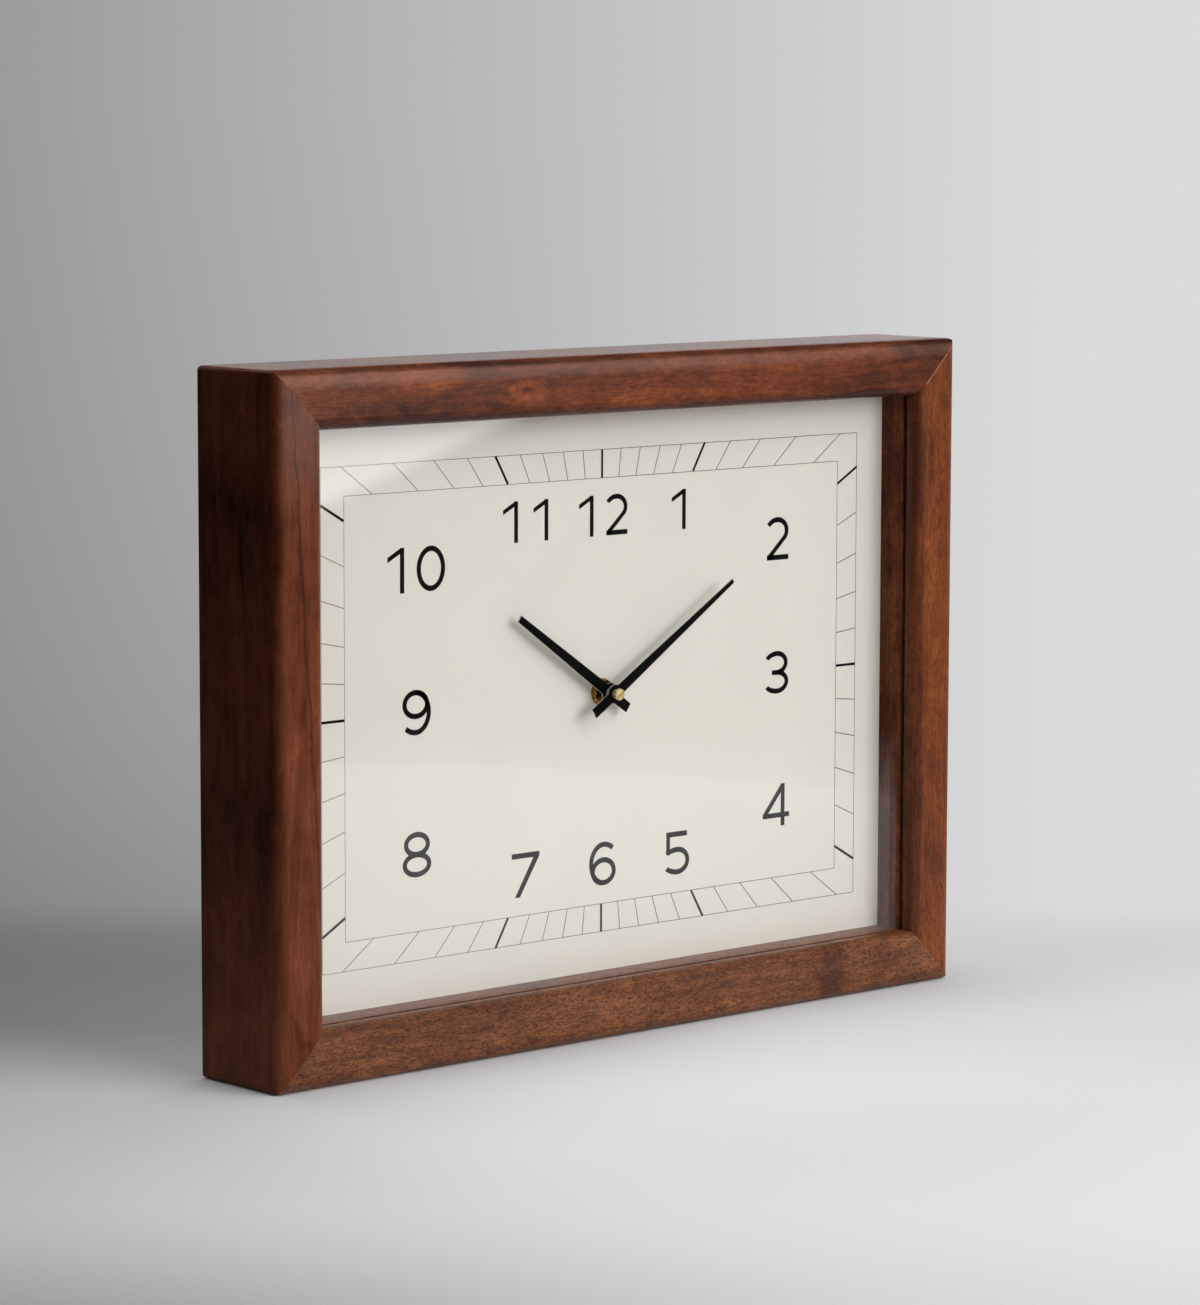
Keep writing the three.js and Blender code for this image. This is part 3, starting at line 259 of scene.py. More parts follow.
def speckledMaterial(name, look):  # one body colour with fine mottling, for plastics, paper, paint and print
    look = speckles | look
    material, shader = newShader(name)
    spot = shader.place()
    cloud = shader.noise(spot, look["cloud"], 3.0)
    grain = shader.noise(spot, look["grain"], 2.0, 0.6)
    lift = look["mottle"]
    first = plain(*(channel * (1 - lift) for channel in look["colour"]))
    second = plain(*(min(255, channel * (1 + lift)) for channel in look["colour"]))
    colour = shader.mix(shader.rise(cloud * 0.6 + grain * 0.4, 0.3, 0.7), first, second)
    fade = look.get("fade")
    if fade:  # another tone towards one side
        x = shader.parts(spot)[0]
        colour = shader.mix(shader.rise(x, *fade["between"]), plain(*fade["colour"]), colour)
    low, high = look["roughness"]
    sockets = {
        "Base Color": colour, "Roughness": shader.rise(grain, 0.3, 0.7, (low, high)),
        "Normal": shader.bump(grain, look["bump"], look["depth"]),
        "Metallic": look["metallic"], "IOR": 1.5, "Specular IOR Level": look["specular"],
        "Coat Weight": look["coat"], "Coat Roughness": 0.2,
    }
    shader.surface(sockets)
    return material


def metalMaterial(name, look):  # drawn or turned metal with fine lines along one direction
    material, shader = newShader(name)
    x, y, z = shader.parts(shader.place())
    stretch = look["stretch"]
    lines = shader.noise(shader.vector(x * stretch[0], y * stretch[1], z * stretch[2]), 1.0, 3.0, 0.6)
    cloud = shader.noise(shader.vector(x, y, z), 0.35, 3.0)
    shine = shader.rise(lines * 0.6 + cloud * 0.4, 0.3, 0.7)
    colour = shader.mix(shine, plain(*look["dark"]), plain(*look["bright"]))
    low, high = look["roughness"]
    shader.surface({
        "Base Color": colour, "Metallic": look.get("metallic", 1.0),
        "Roughness": shader.rise(cloud, 0.3, 0.7, (low, high)),
        "Normal": shader.bump(lines, look["bump"], 0.00003),
    })
    return material


walnut = {
    "deep": (56, 23, 10), "middle": (82, 39, 19), "light": (100, 50, 26), "pale": (128, 70, 37),
    "pore": (38, 17, 9), "cloud": 0.32, "streak": 0.30, "wave": 9.0, "weave": (0.84, 1.14),
    "flecks": (1.06, 0.72), "fleckAlong": 0.28, "fleckAcross": 1.0, "fleckBend": 0.5,
    "fleckEdge": (0.42, 0.60), "patches": [], "sheen": 0.25, "coat": 0.2, "coatRoughness": 0.16,
    "roughness": 0.34, "bump": 0.22, "depth": 0.00012,
}
# a patch is its place along and across the grain, its half length and half width, and its change of tone
woods = {
    "top": woodMaterial("woodTop", walnut | {
        "grain": "x", "seed": 3.0, "wave": 16.0, "coat": 0.2, "sheen": 0.14, "cloud": 0.34,
        "flecks": (1.06, 0.76), "middle": (88, 41, 19), "light": (108, 53, 26), "pale": (136, 72, 35),
        # painted light: the flat top face is made lighter
        "face": {"axis": "z", "between": (304.3, 304.75), "coat": 0.66, "tone": 1.5},
        # painted highlight on the front rounding of the top edge, strongest towards the left end
        "veil": {"along": (500.0, -190.0), "across": (295.0, 300.0), "end": (301.2, 303.0),
                 "glow": (0.078, 0.053, 0.045, 1.0)},
        "knot": {"spot": (-65.2, 291.4), "size": (12.0, 4.6), "eye": (138, 70, 36), "heart": (66, 24, 12)},
        "patches": [
            (-120, 299, 26, 8, 0.10), (-70, 299, 50, 8, -0.05), (-130, 285, 60, 6, -0.05),
            (8, 285, 34, 6, 0.07), (60, 293, 60, 12, 0.05), (150, 284, 34, 8, -0.07),
            # the long narrow patches at 279.4 and 303.6 are painted shade along the inner and the top
            # rounding
            (168, 293, 44, 14, -0.05), (-170, 293, 30, 14, -0.02), (0, 279.4, 500, 4.2, -0.10),
            (0, 303.6, 600, 1.6, -0.09), (-130, 281, 50, 4, -0.06), (-20, 283, 30, 4, 0.05),
            (105, 290, 32, 8, -0.05), (178, 288, 20, 8, -0.03),
        ],
    }),
    "bottom": woodMaterial("woodBottom", walnut | {
        "grain": "x", "seed": 11.0, "flecks": (1.22, 0.50), "fleckAlong": 0.34, "fleckAcross": 0.95,
        "fleckBend": 1.6, "wave": 16.0, "deep": (70, 34, 16), "middle": (95, 52, 25), "light": (112, 65, 34),
        "pale": (134, 84, 48), "patches": [(124, 8, 11, 60, -0.10), (-175, 10, 22, 12, -0.03)],
    }),
    "left": woodMaterial("woodLeft", walnut | {
        "grain": "z", "seed": 23.0, "deep": (46, 15, 4), "middle": (88, 42, 20), "light": (105, 54, 31),
        "flecks": (1.03, 0.9), "weave": (0.93, 1.07), "cloud": 0.25, "streak": 0.16,
        "sheen": 0.09, "coat": 0.06,
        # painted shade: the side face is made darker
        "face": {"axis": "x", "between": (-196.5, -202.4), "coat": 0.0, "tone": 0.64},
        # painted sheen on the upper front, near the outer edge
        "veil": {"along": (235.0, 285.0), "across": (-202.0, -196.0), "glow": (0.03, 0.03, 0.03, 1.0)},
        "vein": {"ends": ((294.6, -194.4), (145.6, -184.7)), "width": 1.0},
        "patches": [
            (235, -203.2, 28, 5, -0.06), (106, -203.2, 34, 5, -0.06), (279, -203.2, 16, 5, 0.03),
            (15, -203.2, 25, 5, 0.05), (232, -190, 30, 8, 0.04), (85, -190, 40, 8, -0.03),
        ],
    }),
    "right": woodMaterial("woodRight", walnut | {
        "grain": "z", "seed": 37.0, "deep": (72, 31, 12), "middle": (100, 49, 20), "light": (115, 59, 25),
        "pale": (134, 74, 36), "flecks": (1.10, 0.72), "fleckAlong": 0.30, "fleckAcross": 1.3,
        "fleckBend": 0.9,
        "seam": {"offset": 101.6, "share": 0.7, "turn": (283.0, 285.0), "colour": (206, 146, 120)},
        # the patch is painted shade along the inner rounding
        "patches": [(150, 179.0, 400, 4.6, -0.12)], "sheen": 0.14, "coat": 0.14,
    }),
    "inside": woodMaterial("woodInside", walnut | {
        "grain": "x", "seed": 51.0, "deep": (80, 42, 23), "middle": (108, 60, 34), "light": (124, 74, 44),
        "pale": (140, 88, 56), "sheen": 0.2, "coat": 0.1,
    }),
    "insideUpright": woodMaterial("woodInsideUpright", walnut | {
        "grain": "z", "seed": 57.0, "deep": (54, 26, 14), "middle": (82, 42, 23), "light": (102, 56, 32),
        "pale": (130, 79, 48), "sheen": 0.05, "coat": 0.0,
    }),
}
finishes = {
    "glass": glassMaterial(),
    "card": speckledMaterial("dialCard", {
        "colour": (224, 220, 209), "mottle": 0.006, "cloud": 0.02, "roughness": (0.62, 0.72), "bump": 0.05,
    }),
    "ink": speckledMaterial("dialInk", {
        "colour": (13, 12, 13), "mottle": 0.12, "grain": 5.0, "bump": 0.04, "depth": 0.00001,
        "specular": 0.06,
    }),
    "fineInk": speckledMaterial("dialFineInk", {
        "colour": (44, 38, 34), "mottle": 0.06, "grain": 5.0, "bump": 0.04, "depth": 0.00001,
        "specular": 0.1, "fade": {"between": (-150.0, 90.0), "colour": (122, 108, 98)},
    }),
    "handPaint": speckledMaterial("handPaint", {
        "colour": (5, 5, 6), "mottle": 0.15, "cloud": 0.2, "grain": 3.0, "roughness": (0.38, 0.48),
        "bump": 0.06, "specular": 0.05,
    }),
    "cutEdge": speckledMaterial("bareCutEdge", {
        "colour": (196, 194, 186), "mottle": 0.05, "roughness": (0.3, 0.42), "bump": 0.06, "depth": 0.00001,
        "metallic": 0.5,
    }),
    "paleBrass": metalMaterial("polishedBrass", {
        "dark": (206, 176, 112), "bright": (238, 216, 160), "stretch": (0.4, 6.0, 0.4),
        "roughness": (0.16, 0.28), "bump": 0.12, "metallic": 0.4,
    }),
    "brass": metalMaterial("turnedBrass", {
        "dark": (138, 92, 38), "bright": (206, 158, 84), "stretch": (0.4, 6.0, 0.4), "roughness": (0.2, 0.34),
        "bump": 0.15,
    }),
    "zinc": metalMaterial("zincSteel", {
        "dark": (172, 174, 174), "bright": (206, 208, 206), "stretch": (0.3, 3.0, 4.0),
        "roughness": (0.3, 0.38), "bump": 0.06,
    }),
    "iron": metalMaterial("softIron", {
        "dark": (96, 98, 100), "bright": (150, 152, 154), "stretch": (0.3, 3.0, 3.0),
        "roughness": (0.4, 0.55), "bump": 0.12,
    }),
    "ferrite": speckledMaterial("ferrite", {
        "colour": (52, 53, 57), "mottle": 0.15, "cloud": 0.5, "grain": 6.0, "bump": 0.2,
    }),
    "hardboard": speckledMaterial("hardboard", {
        "colour": (150, 114, 80), "mottle": 0.09, "grain": 1.4, "roughness": (0.78, 0.9), "bump": 0.5,
        "depth": 0.0001,
    }),
    "blackPlastic": speckledMaterial("blackPlastic", {
        "colour": (44, 45, 48), "cloud": 0.05, "grain": 3.0, "roughness": (0.42, 0.56), "bump": 0.25,
        "depth": 0.00003,
    }),
    "whitePlastic": speckledMaterial("whitePlastic", {
        "colour": (226, 223, 213), "mottle": 0.015, "cloud": 0.1, "grain": 3.0, "roughness": (0.32, 0.42),
        "bump": 0.06,
    }),
    "rubber": speckledMaterial("rubber", {
        "colour": (27, 27, 28), "cloud": 0.2, "roughness": (0.75, 0.88), "bump": 0.2,
    }),
    "copper": metalMaterial("copperWire", {
        "dark": (120, 56, 24), "bright": (196, 112, 62), "stretch": (9.0, 0.3, 0.3), "roughness": (0.28, 0.4),
        "bump": 0.6,
    }),
    "circuit": speckledMaterial("circuitLaminate", {
        "colour": (40, 96, 62), "mottle": 0.08, "roughness": (0.45, 0.6),
    }),
    "jacket": speckledMaterial("cellJacket", {
        "colour": (74, 79, 84), "mottle": 0.05, "cloud": 0.1, "grain": 3.0, "roughness": (0.26, 0.36),
        "bump": 0.04, "depth": 0.00001, "metallic": 0.4, "coat": 0.4,
    }),
}
print("materials ready")


# Mesh helpers
def finishPiece(bm, name, material, body="case", nodes=(), smoothBelow=38, weighted=False):
    bmesh.ops.scale(bm, verts=bm.verts, vec=(mm, mm, mm))
    bmesh.ops.recalc_face_normals(bm, faces=bm.faces)
    for face in bm.faces:
        face.smooth = True
    for edge in bm.edges:
        edge.smooth = edge.is_manifold and edge.calc_face_angle(0.0) < math.radians(smoothBelow)
    mesh = bpy.data.meshes.new(name)
    bm.to_mesh(mesh)
    bm.free()
    piece = bpy.data.objects.new(name, mesh)
    scene.collection.objects.link(piece)
    mesh.materials.append(material)
    if weighted:
        leaning = piece.modifiers.new("evenShading", "WEIGHTED_NORMAL")
        leaning.keep_sharp = True
        leaning.weight = 60
    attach(piece, body)
    if nodes:
        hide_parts(*nodes)
    return piece


def newVerts(geometry):
    return [item for item in geometry if isinstance(item, bmesh.types.BMVert)]


def newEdges(geometry):
    return [item for item in geometry if isinstance(item, bmesh.types.BMEdge)]


def extrudeFaces(bm, faces, move):
    grown = bmesh.ops.extrude_face_region(bm, geom=faces)
    bmesh.ops.translate(bm, verts=newVerts(grown["geom"]), vec=move)
    return grown["geom"]


def setPlace(bm, angle, move, axis="Y"):
    bmesh.ops.rotate(bm, verts=bm.verts, cent=(0, 0, 0), matrix=Matrix.Rotation(angle, 3, axis))
    bmesh.ops.translate(bm, verts=bm.verts, vec=move)


def absorb(bm, part):  # adds another mesh, which is freed
    holder = bpy.data.meshes.new("holder")
    part.to_mesh(holder)
    part.free()
    bm.from_mesh(holder)
    bpy.data.meshes.remove(holder)


def turn(bm, profile, steps=48, centre=(0.0, 0.0)):  # spins (radius, y) points about an axis along Y
    verts = [bm.verts.new((radius, y, 0)) for radius, y in profile]
    edges = [bm.edges.new(pair) for pair in zip(verts, verts[1:])]
    bmesh.ops.spin(bm, geom=verts + edges, cent=(0, 0, 0), axis=(0, 1, 0), angle=math.tau, steps=steps,
                   use_merge=True)
    bmesh.ops.remove_doubles(bm, verts=bm.verts, dist=1e-4)
    bmesh.ops.translate(bm, verts=bm.verts, vec=(centre[0], 0, centre[1]))


def cutAway(bm, point, normal):  # cuts off what lies beyond a plane and closes the cut
    whole = bm.verts[:] + bm.edges[:] + bm.faces[:]
    cut = bmesh.ops.bisect_plane(bm, geom=whole, dist=1e-5, plane_co=point, plane_no=normal, clear_outer=True)
    bmesh.ops.holes_fill(bm, edges=newEdges(cut["geom_cut"]), sides=0)


def edgesAlong(bm, y, z):  # the edges that run the whole length of a rail at one place of its section
    return [
        edge for edge in bm.edges
        if all(abs(v.co.y - y) < 1e-3 and abs(v.co.z - z) < 1e-3 for v in edge.verts)
    ]


# Case: each rail is drawn below the middle, its outer face down, and turned to its side
hanger = {"length": 46.0, "height": 9.0, "pocketDepth": 2.4, "pocketMargin": 2.0}


def railMesh(length, offset, pocket=None, openEnd=0):
    bm = bmesh.new()
    half = length / 2
    width, lipBack = case["railWidth"], frontY + case["lipDepth"]
    rabbet = width - case["lipWidth"]
    section = [(frontY, 0), (backY, 0), (backY, rabbet), (lipBack, rabbet), (lipBack, width), (frontY, width)]
    start = bm.faces.new([bm.verts.new((-half - 1, y, z)) for y, z in section])
    extrudeFaces(bm, [start], (length + 2, 0, 0))
    rounds = [
        (frontY, 0, case["outerRound"], 10), (frontY, width, case["innerRound"], 10),
        (backY, 0, case["backArris"], 3), (lipBack, width, case["lipArris"], 2),
        (backY, rabbet, case["lipArris"], 2),
    ]
    for y, z, radius, segments in rounds:
        bmesh.ops.bevel(bm, geom=edgesAlong(bm, y, z), offset=radius, offset_type="OFFSET", segments=segments,
                        profile=0.5, affect="EDGES", material=-1, clamp_overlap=False)
    if pocket:
        sinkPocket(bm, pocket)
    radius = case["cornerRound"]
    for side in (-1, 1):
        for degrees in (5.6, 16.9, 28.1, 39.4):  # the rail's half of the rounded corner
            lean = math.radians(degrees)
            normal = Vector((side * math.sin(lean), 0, -math.cos(lean)))
            centre = Vector((side * (half - radius), 0, radius))
            cutAway(bm, centre + normal * radius, normal)
        mitre = Vector((side, 0, 1)).normalized()
        cutAway(bm, Vector((side * half, 0, 0)) - mitre * case["mitreLine"], mitre)
        if side == openEnd:  # this joint shows a fine line that catches the light
            bm.normal_update()
            caps = [face for face in bm.faces if face.normal.dot(mitre) > 0.999]
            rims = [edge for face in caps for edge in face.edges]
            bmesh.ops.bevel(bm, geom=rims, offset=case["openMitre"], segments=1, profile=0.5, affect="EDGES",
                            material=-1, clamp_overlap=False)
    bmesh.ops.translate(bm, verts=bm.verts, vec=(0, 0, -offset))
    return bm


def facesAt(bm, y):
    return [face for face in bm.faces if all(abs(vert.co.y - y) < 1e-3 for vert in face.verts)]


def scoreFaces(bm, y, axis, values):  # cuts the faces that lie at one y along lines
    for value in values:
        faces = facesAt(bm, y)
        edges = {edge for face in faces for edge in face.edges}
        verts = {vert for face in faces for vert in face.verts}
        point, normal = Vector((0, 0, 0)), Vector((0, 0, 0))
        point[axis], normal[axis] = value, 1
        bmesh.ops.bisect_plane(bm, geom=[*faces, *edges, *verts], dist=1e-5, plane_co=point, plane_no=normal)


def pushIn(bm, y, within, depth):  # sinks the faces at one y whose middle lies within a shape
    middles = [(face, face.calc_center_median()) for face in facesAt(bm, y)]
    sunk = [face for face, middle in middles if within(middle.x, middle.z)]
    moved = newVerts(extrudeFaces(bm, sunk, (0, -depth, 0)))
    bmesh.ops.delete(bm, geom=sunk, context="FACES")
    return moved


def sinkPocket(bm, pocket):  # the recess in the top rail's back for the hanger
    low, high = pocket["low"], pocket["high"]
    for axis in (0, 2):
        scoreFaces(bm, backY, axis, (low[axis], high[axis]))

    def within(x, z):
        return low[0] < x < high[0] and low[2] < z < high[2]

    pushIn(bm, backY, within, pocket["depth"])


hangerZ = (case["railWidth"] - case["lipWidth"]) / 2 + case["backArris"] / 2
pocketHalf = (hanger["length"] / 2 + hanger["pocketMargin"], hanger["height"] / 2 + hanger["pocketMargin"])
hangerPocket = {
    "low": (-pocketHalf[0], 0, hangerZ - pocketHalf[1]), "high": (pocketHalf[0], 0, hangerZ + pocketHalf[1]),
    "depth": hanger["pocketDepth"],
}
sides = [
    ("bottomRail", "bottom_rail", "bottom", case["width"], case["height"] / 2, 0, None, 0),
    ("leftStile", "left_stile", "left", case["height"], case["width"] / 2, 1, None, 0),
    ("topRail", "top_rail", "top", case["width"], case["height"] / 2, 2, hangerPocket, 0),
    ("rightStile", "right_stile", "right", case["height"], case["width"] / 2, 3, None, 1),
]
for name, node, wood, length, offset, quarters, pocket, openEnd in sides:
    bm = railMesh(length, offset, pocket, openEnd)
    setPlace(bm, quarters * math.pi / 2, (0, 0, middleZ))
    finishPiece(bm, name, woods[wood], nodes=[node], weighted=True)
print("case ready")

# Dial print: two thin rectangles, a line for each minute and the numerals
dialPrint = {
    "inner": (148.1, 96.2), "outer": (160.8, 108.9), "line": 0.26, "minute": 0.36, "fiveMinutes": 1.2,
    "thickness": 0.03, "height": 19.8, "stroke": 2.4, "topRowSize": 0.925, "gap": 5.0,
    "nearX": 46.0, "farX": 108.7, "shiftX": 0.83, "topZ": 79.3, "bottomZ": -77.9, "sideZ": 62.2,
}


def flatQuad(bm, points):
    return bm.faces.new([bm.verts.new((x, 0, z)) for x, z in points])


def dialPiece(bm, name, material, lift):  # gives flat faces a thickness and sets them on the dial
    extrudeFaces(bm, bm.faces[:], (0, -dialPrint["thickness"], 0))
    bmesh.ops.translate(bm, verts=bm.verts, vec=dialCentre - Vector((0, lift, 0)))
    finishPiece(bm, name, material)


def rectangleLine(bm, halfX, halfZ, line):
    outside = flatQuad(bm, [(-halfX, -halfZ), (halfX, -halfZ), (halfX, halfZ), (-halfX, halfZ)])
    outside.normal_update()
    bmesh.ops.inset_region(bm, faces=[outside], thickness=line, use_even_offset=True, use_boundary=True)
    bmesh.ops.delete(bm, geom=[outside], context="FACES")


def rayLength(angle, half):  # from the centre to a rectangle, in a clock direction
    across, up = abs(math.sin(angle)), abs(math.cos(angle))
    return min(half[0] / across if across > 1e-6 else 1e6, half[1] / up if up > 1e-6 else 1e6)


def minuteLine(bm, minute, width):
    angle = minute / 60 * math.tau
    start, end = rayLength(angle, dialPrint["inner"]), rayLength(angle, dialPrint["outer"])
    direction, aside = Vector((math.sin(angle), math.cos(angle))), Vector((math.cos(angle), -math.sin(angle)))
    shift = aside * width / 2
    flatQuad(bm, [direction * start - shift, direction * start + shift,
                  direction * end + shift, direction * end - shift])


track = bmesh.new()
rectangleLine(track, *dialPrint["inner"], dialPrint["line"])
rectangleLine(track, *dialPrint["outer"], dialPrint["line"])
dialPiece(track, "minuteTrack", finishes["fineInk"], 0.0)
minuteMarks, hourMarks = bmesh.new(), bmesh.new()
for minute in range(60):
    if minute % 5:
        minuteLine(minuteMarks, minute, dialPrint["minute"])
    else:
        minuteLine(hourMarks, minute, dialPrint["fiveMinutes"])
dialPiece(minuteMarks, "minuteMarks", finishes["fineInk"], 0.01)
dialPiece(hourMarks, "fiveMinuteMarks", finishes["ink"], 0.02)


# Numerals are drawn stroke by stroke in a box of full height, from its lower left corner
def arcStroke(bm, centre, radii, degrees):
    start, end = (math.radians(value) for value in degrees)
    chains = []
    for side in (0.5, -0.5):
        spread = [radius + side * dialPrint["stroke"] for radius in radii]
        first = bm.verts.new((math.cos(start), 0, math.sin(start)))
        arc = bmesh.ops.spin(bm, geom=[first], cent=(0, 0, 0), axis=(0, -1, 0), angle=end - start, steps=28)
        edges = list({edge for vert in newVerts(arc["geom_last"]) for edge in vert.link_edges})
        chain, front = [], edges
        while front:
            chain += front
            front = list({e for edge in front for v in edge.verts for e in v.link_edges} - set(chain))
        verts = list({vert for edge in chain for vert in edge.verts})
        bmesh.ops.scale(bm, verts=verts, vec=(spread[0], 1, spread[1]))
        bmesh.ops.translate(bm, verts=verts, vec=(centre[0], 0, centre[1]))
        chains += chain
    bmesh.ops.bridge_loops(bm, edges=chains)


high, stroke = dialPrint["height"], dialPrint["stroke"]
middle, tall = high / 2, high / 2 - stroke / 2
digits = {  # each with its width, its arcs (centre, radii, degrees) and its straight strokes
    "0": (16.0, [((8.0, middle), (6.85, tall), (90, 270)), ((8.0, middle), (6.85, tall), (-90, 90))], []),
    "1": (9.4, [], [
        [(7.0, 0), (9.4, 0), (9.4, high), (7.0, high)],
        [(0, high - 6.2), (7.6, high - 2.3), (8.2, high), (7.6, high), (0, high - 3.9)],
    ]),
    "2": (13.8, [((6.7, high - 6.3), (6.6, 5.15), (150, 90)), ((6.7, high - 6.3), (5.85, 5.15), (90, -40))], [
        [(0, 1.8), (0, 0.6), (2.8, 0.6), (2.8, 1.2), (11.95, 9.5), (10.4, 11.0)],
        [(0, 0), (13.8, 0), (13.8, stroke), (0, stroke)],
    ]),
    "3": (14.7, [
        ((7.3, high - 5.55), (7.1, 4.4), (152, 90)), ((7.3, high - 5.55), (5.75, 4.4), (90, -90)),
        ((7.3, 5.5), (6.25, 4.35), (90, -90)), ((7.3, 5.5), (7.4, 4.35), (-90, -150)),
    ], [[(4.1, 8.75), (7.4, 8.75), (7.4, 11.0), (4.1, 11.0)]]),
    "4": (17.1, [], [
        [(11.6, 0), (14.1, 0), (14.1, high), (11.6, high)], [(0, 4.0), (17.1, 4.0), (17.1, 6.3), (0, 6.3)],
        [(0, 5.9), (3.2, 5.9), (11.9, 16.1), (11.9, high)],
    ]),
    "5": (14.9, [
        ((7.6, 6.3), (9.2, 5.15), (137, 90)), ((7.6, 6.3), (6.15, 5.15), (90, -90)),
        ((7.6, 6.3), (8.6, 5.15), (-90, -142)),
    ], [
        [(0.6, high - stroke), (13.5, high - stroke), (13.5, high), (0.6, high)],
        [(0.6, 9.3), (2.9, 10.2), (2.9, high), (0.6, high)],
    ]),
    "6": (16.0, [
        ((8.6, middle), (8.6, tall), (50, 90)), ((8.6, middle), (7.45, tall), (90, 270)),
        ((8.5, 6.35), (6.35, 5.2), (-90, 90)), ((8.5, 6.35), (6.35, 5.2), (90, 270)),
    ], []),
    "7": (16.3, [], [
        [(0, high - stroke), (16.3, high - stroke), (16.3, high), (0, high)],
        [(1.9, 0), (4.8, 0), (16.3, high - 2.0), (13.0, high - 2.0)],
    ]),
    "8": (16.1, [
        ((8.05, z), (radius, 4.35), degrees)
        for z, radius in ((high - 5.45, 6.15), (5.5, 6.9)) for degrees in ((-90, 90), (90, 270))
    ], []),
}
digits["9"] = digits["6"]  # turned round when it is drawn


def drawDigit(bm, digit):
    width, arcs, flats = digits[digit]
    for arc in arcs:
        arcStroke(bm, *arc)
    for points in flats:
        flatQuad(bm, points)
    if digit == "9":
        centre = (width / 2, 0, dialPrint["height"] / 2)
        bmesh.ops.rotate(bm, verts=bm.verts, cent=centre, matrix=Matrix.Rotation(math.pi, 3, "Y"))
    return width


leftBearing = {"0": 2.0, "1": 4.8, "2": 3.3}


def drawNumeral(numerals, text, centreX, centreZ, size):
    cursor, parts = 0.0, []
    for index, digit in enumerate(text):
        glyph = bmesh.new()
        width = drawDigit(glyph, digit)
        if index:
            cursor += dialPrint["gap"] + leftBearing[digit]
        bmesh.ops.translate(glyph, verts=glyph.verts, vec=(cursor, 0, 0))
        cursor += width
        parts.append(glyph)
    for glyph in parts:
        bmesh.ops.translate(glyph, verts=glyph.verts, vec=(-cursor / 2, 0, -dialPrint["height"] / 2))
        bmesh.ops.scale(glyph, verts=glyph.verts, vec=(size, 1, size))
        bmesh.ops.translate(glyph, verts=glyph.verts, vec=(centreX, 0, centreZ))
        absorb(numerals, glyph)


numerals = bmesh.new()
nearX, farX, sideZ = dialPrint["nearX"], dialPrint["farX"], dialPrint["sideZ"]
topZ, bottomZ = dialPrint["topZ"], dialPrint["bottomZ"]
layout = [
    ("12", 0, topZ), ("1", nearX, topZ), ("2", farX, sideZ), ("3", farX, 0), ("4", farX, -sideZ),
    ("5", nearX, bottomZ), ("6", 0, bottomZ), ("7", -nearX, bottomZ), ("8", -farX, -sideZ), ("9", -farX, 0),
    ("10", -farX, sideZ), ("11", -nearX, topZ),
]
for text, centreX, centreZ in layout:
    size = dialPrint["topRowSize"] if centreZ == topZ else 1.0
    drawNumeral(numerals, text, centreX + dialPrint["shiftX"], centreZ, size)
dialPiece(numerals, "numerals", finishes["ink"], 0.0)
print("dial print ready")

# Hands and what holds them
hands = {
    "hour": {"length": 65.3, "tail": 13.4, "tip": 3.3, "root": 5.2, "tailEnd": 4.6, "hub": 4.6, "lift": 5.2,
             "collet": 1.6},
    "minute": {"length": 85.8, "tail": 14.9, "tip": 2.0, "root": 5.0, "tailEnd": 4.7, "hub": 4.2, "lift": 8.6,
               "collet": 1.0},
    "thickness": 0.7, "edge": 0.06, "colletRadius": 3.5, "colletArris": 0.15, "colletOverlap": 0.2,
    "time": (10, 9.61),
}


def makeHand(name, node, hand, angle, body):
    bm = bmesh.new()
    halfRoot = hand["root"] / 2
    shoulder = math.sqrt(hand["hub"] ** 2 - halfRoot ** 2)
    lean = math.atan2(shoulder, halfRoot)
    right = bm.verts.new((halfRoot, 0, shoulder))
    arc = bmesh.ops.spin(bm, geom=[right], cent=(0, 0, 0), axis=(0, 1, 0), angle=2 * lean, steps=16)
    foot = newVerts(arc["geom_last"])[0]
    tip = bm.verts.new((hand["tip"] / 2, 0, hand["length"]))
    tail = bm.verts.new((hand["tailEnd"] / 2, 0, -hand["tail"]))
    bm.edges.new((tip, right))
    bm.edges.new((foot, tail))
    half = bm.verts[:] + bm.edges[:]
    bmesh.ops.mirror(bm, geom=half, axis="X", merge_dist=0)
    outer = sorted(bm.verts, key=lambda vert: vert.co.z)
    bm.edges.new(outer[:2])
    bm.edges.new(outer[-2:])
    face = bmesh.ops.contextual_create(bm, geom=bm.edges[:])["faces"]
    extrudeFaces(bm, face, (0, -hands["thickness"], 0))
    rims = [edge for edge in bm.edges if edge.calc_face_angle(0.0) > math.radians(60)]
    bmesh.ops.bevel(bm, geom=rims, offset=hands["edge"], segments=2, profile=0.5, affect="EDGES", material=-1)
    bm.normal_update()
    for face in bm.faces:
        face.material_index = int(abs(face.normal.y) < 0.5)  # the paint ends at the stamped edge
    bladeBack = dialY - hand["lift"]
    bmesh.ops.translate(bm, verts=bm.verts, vec=(0, bladeBack, 0))
    collet = bmesh.new()
    radius, arris = hands["colletRadius"], hands["colletArris"]
    front, back = bladeBack - hands["colletOverlap"], bladeBack + hand["collet"]
    turn(collet, [(0, front), (radius, front), (radius, back - arris), (radius - arris, back), (0, back)])
    absorb(bm, collet)
    setPlace(bm, angle, (0, 0, middleZ))
    piece = finishPiece(bm, name, finishes["handPaint"], body, [node])
    piece.data.materials.append(finishes["cutEdge"])


restHour, restMinute = hands["time"]
makeHand("hourHand", "hour_hand", hands["hour"], (restHour + restMinute / 60) / 12 * math.tau, "hour_set")
makeHand("minuteHand", "minute_hand", hands["minute"], restMinute / 60 * math.tau, "minute_set")

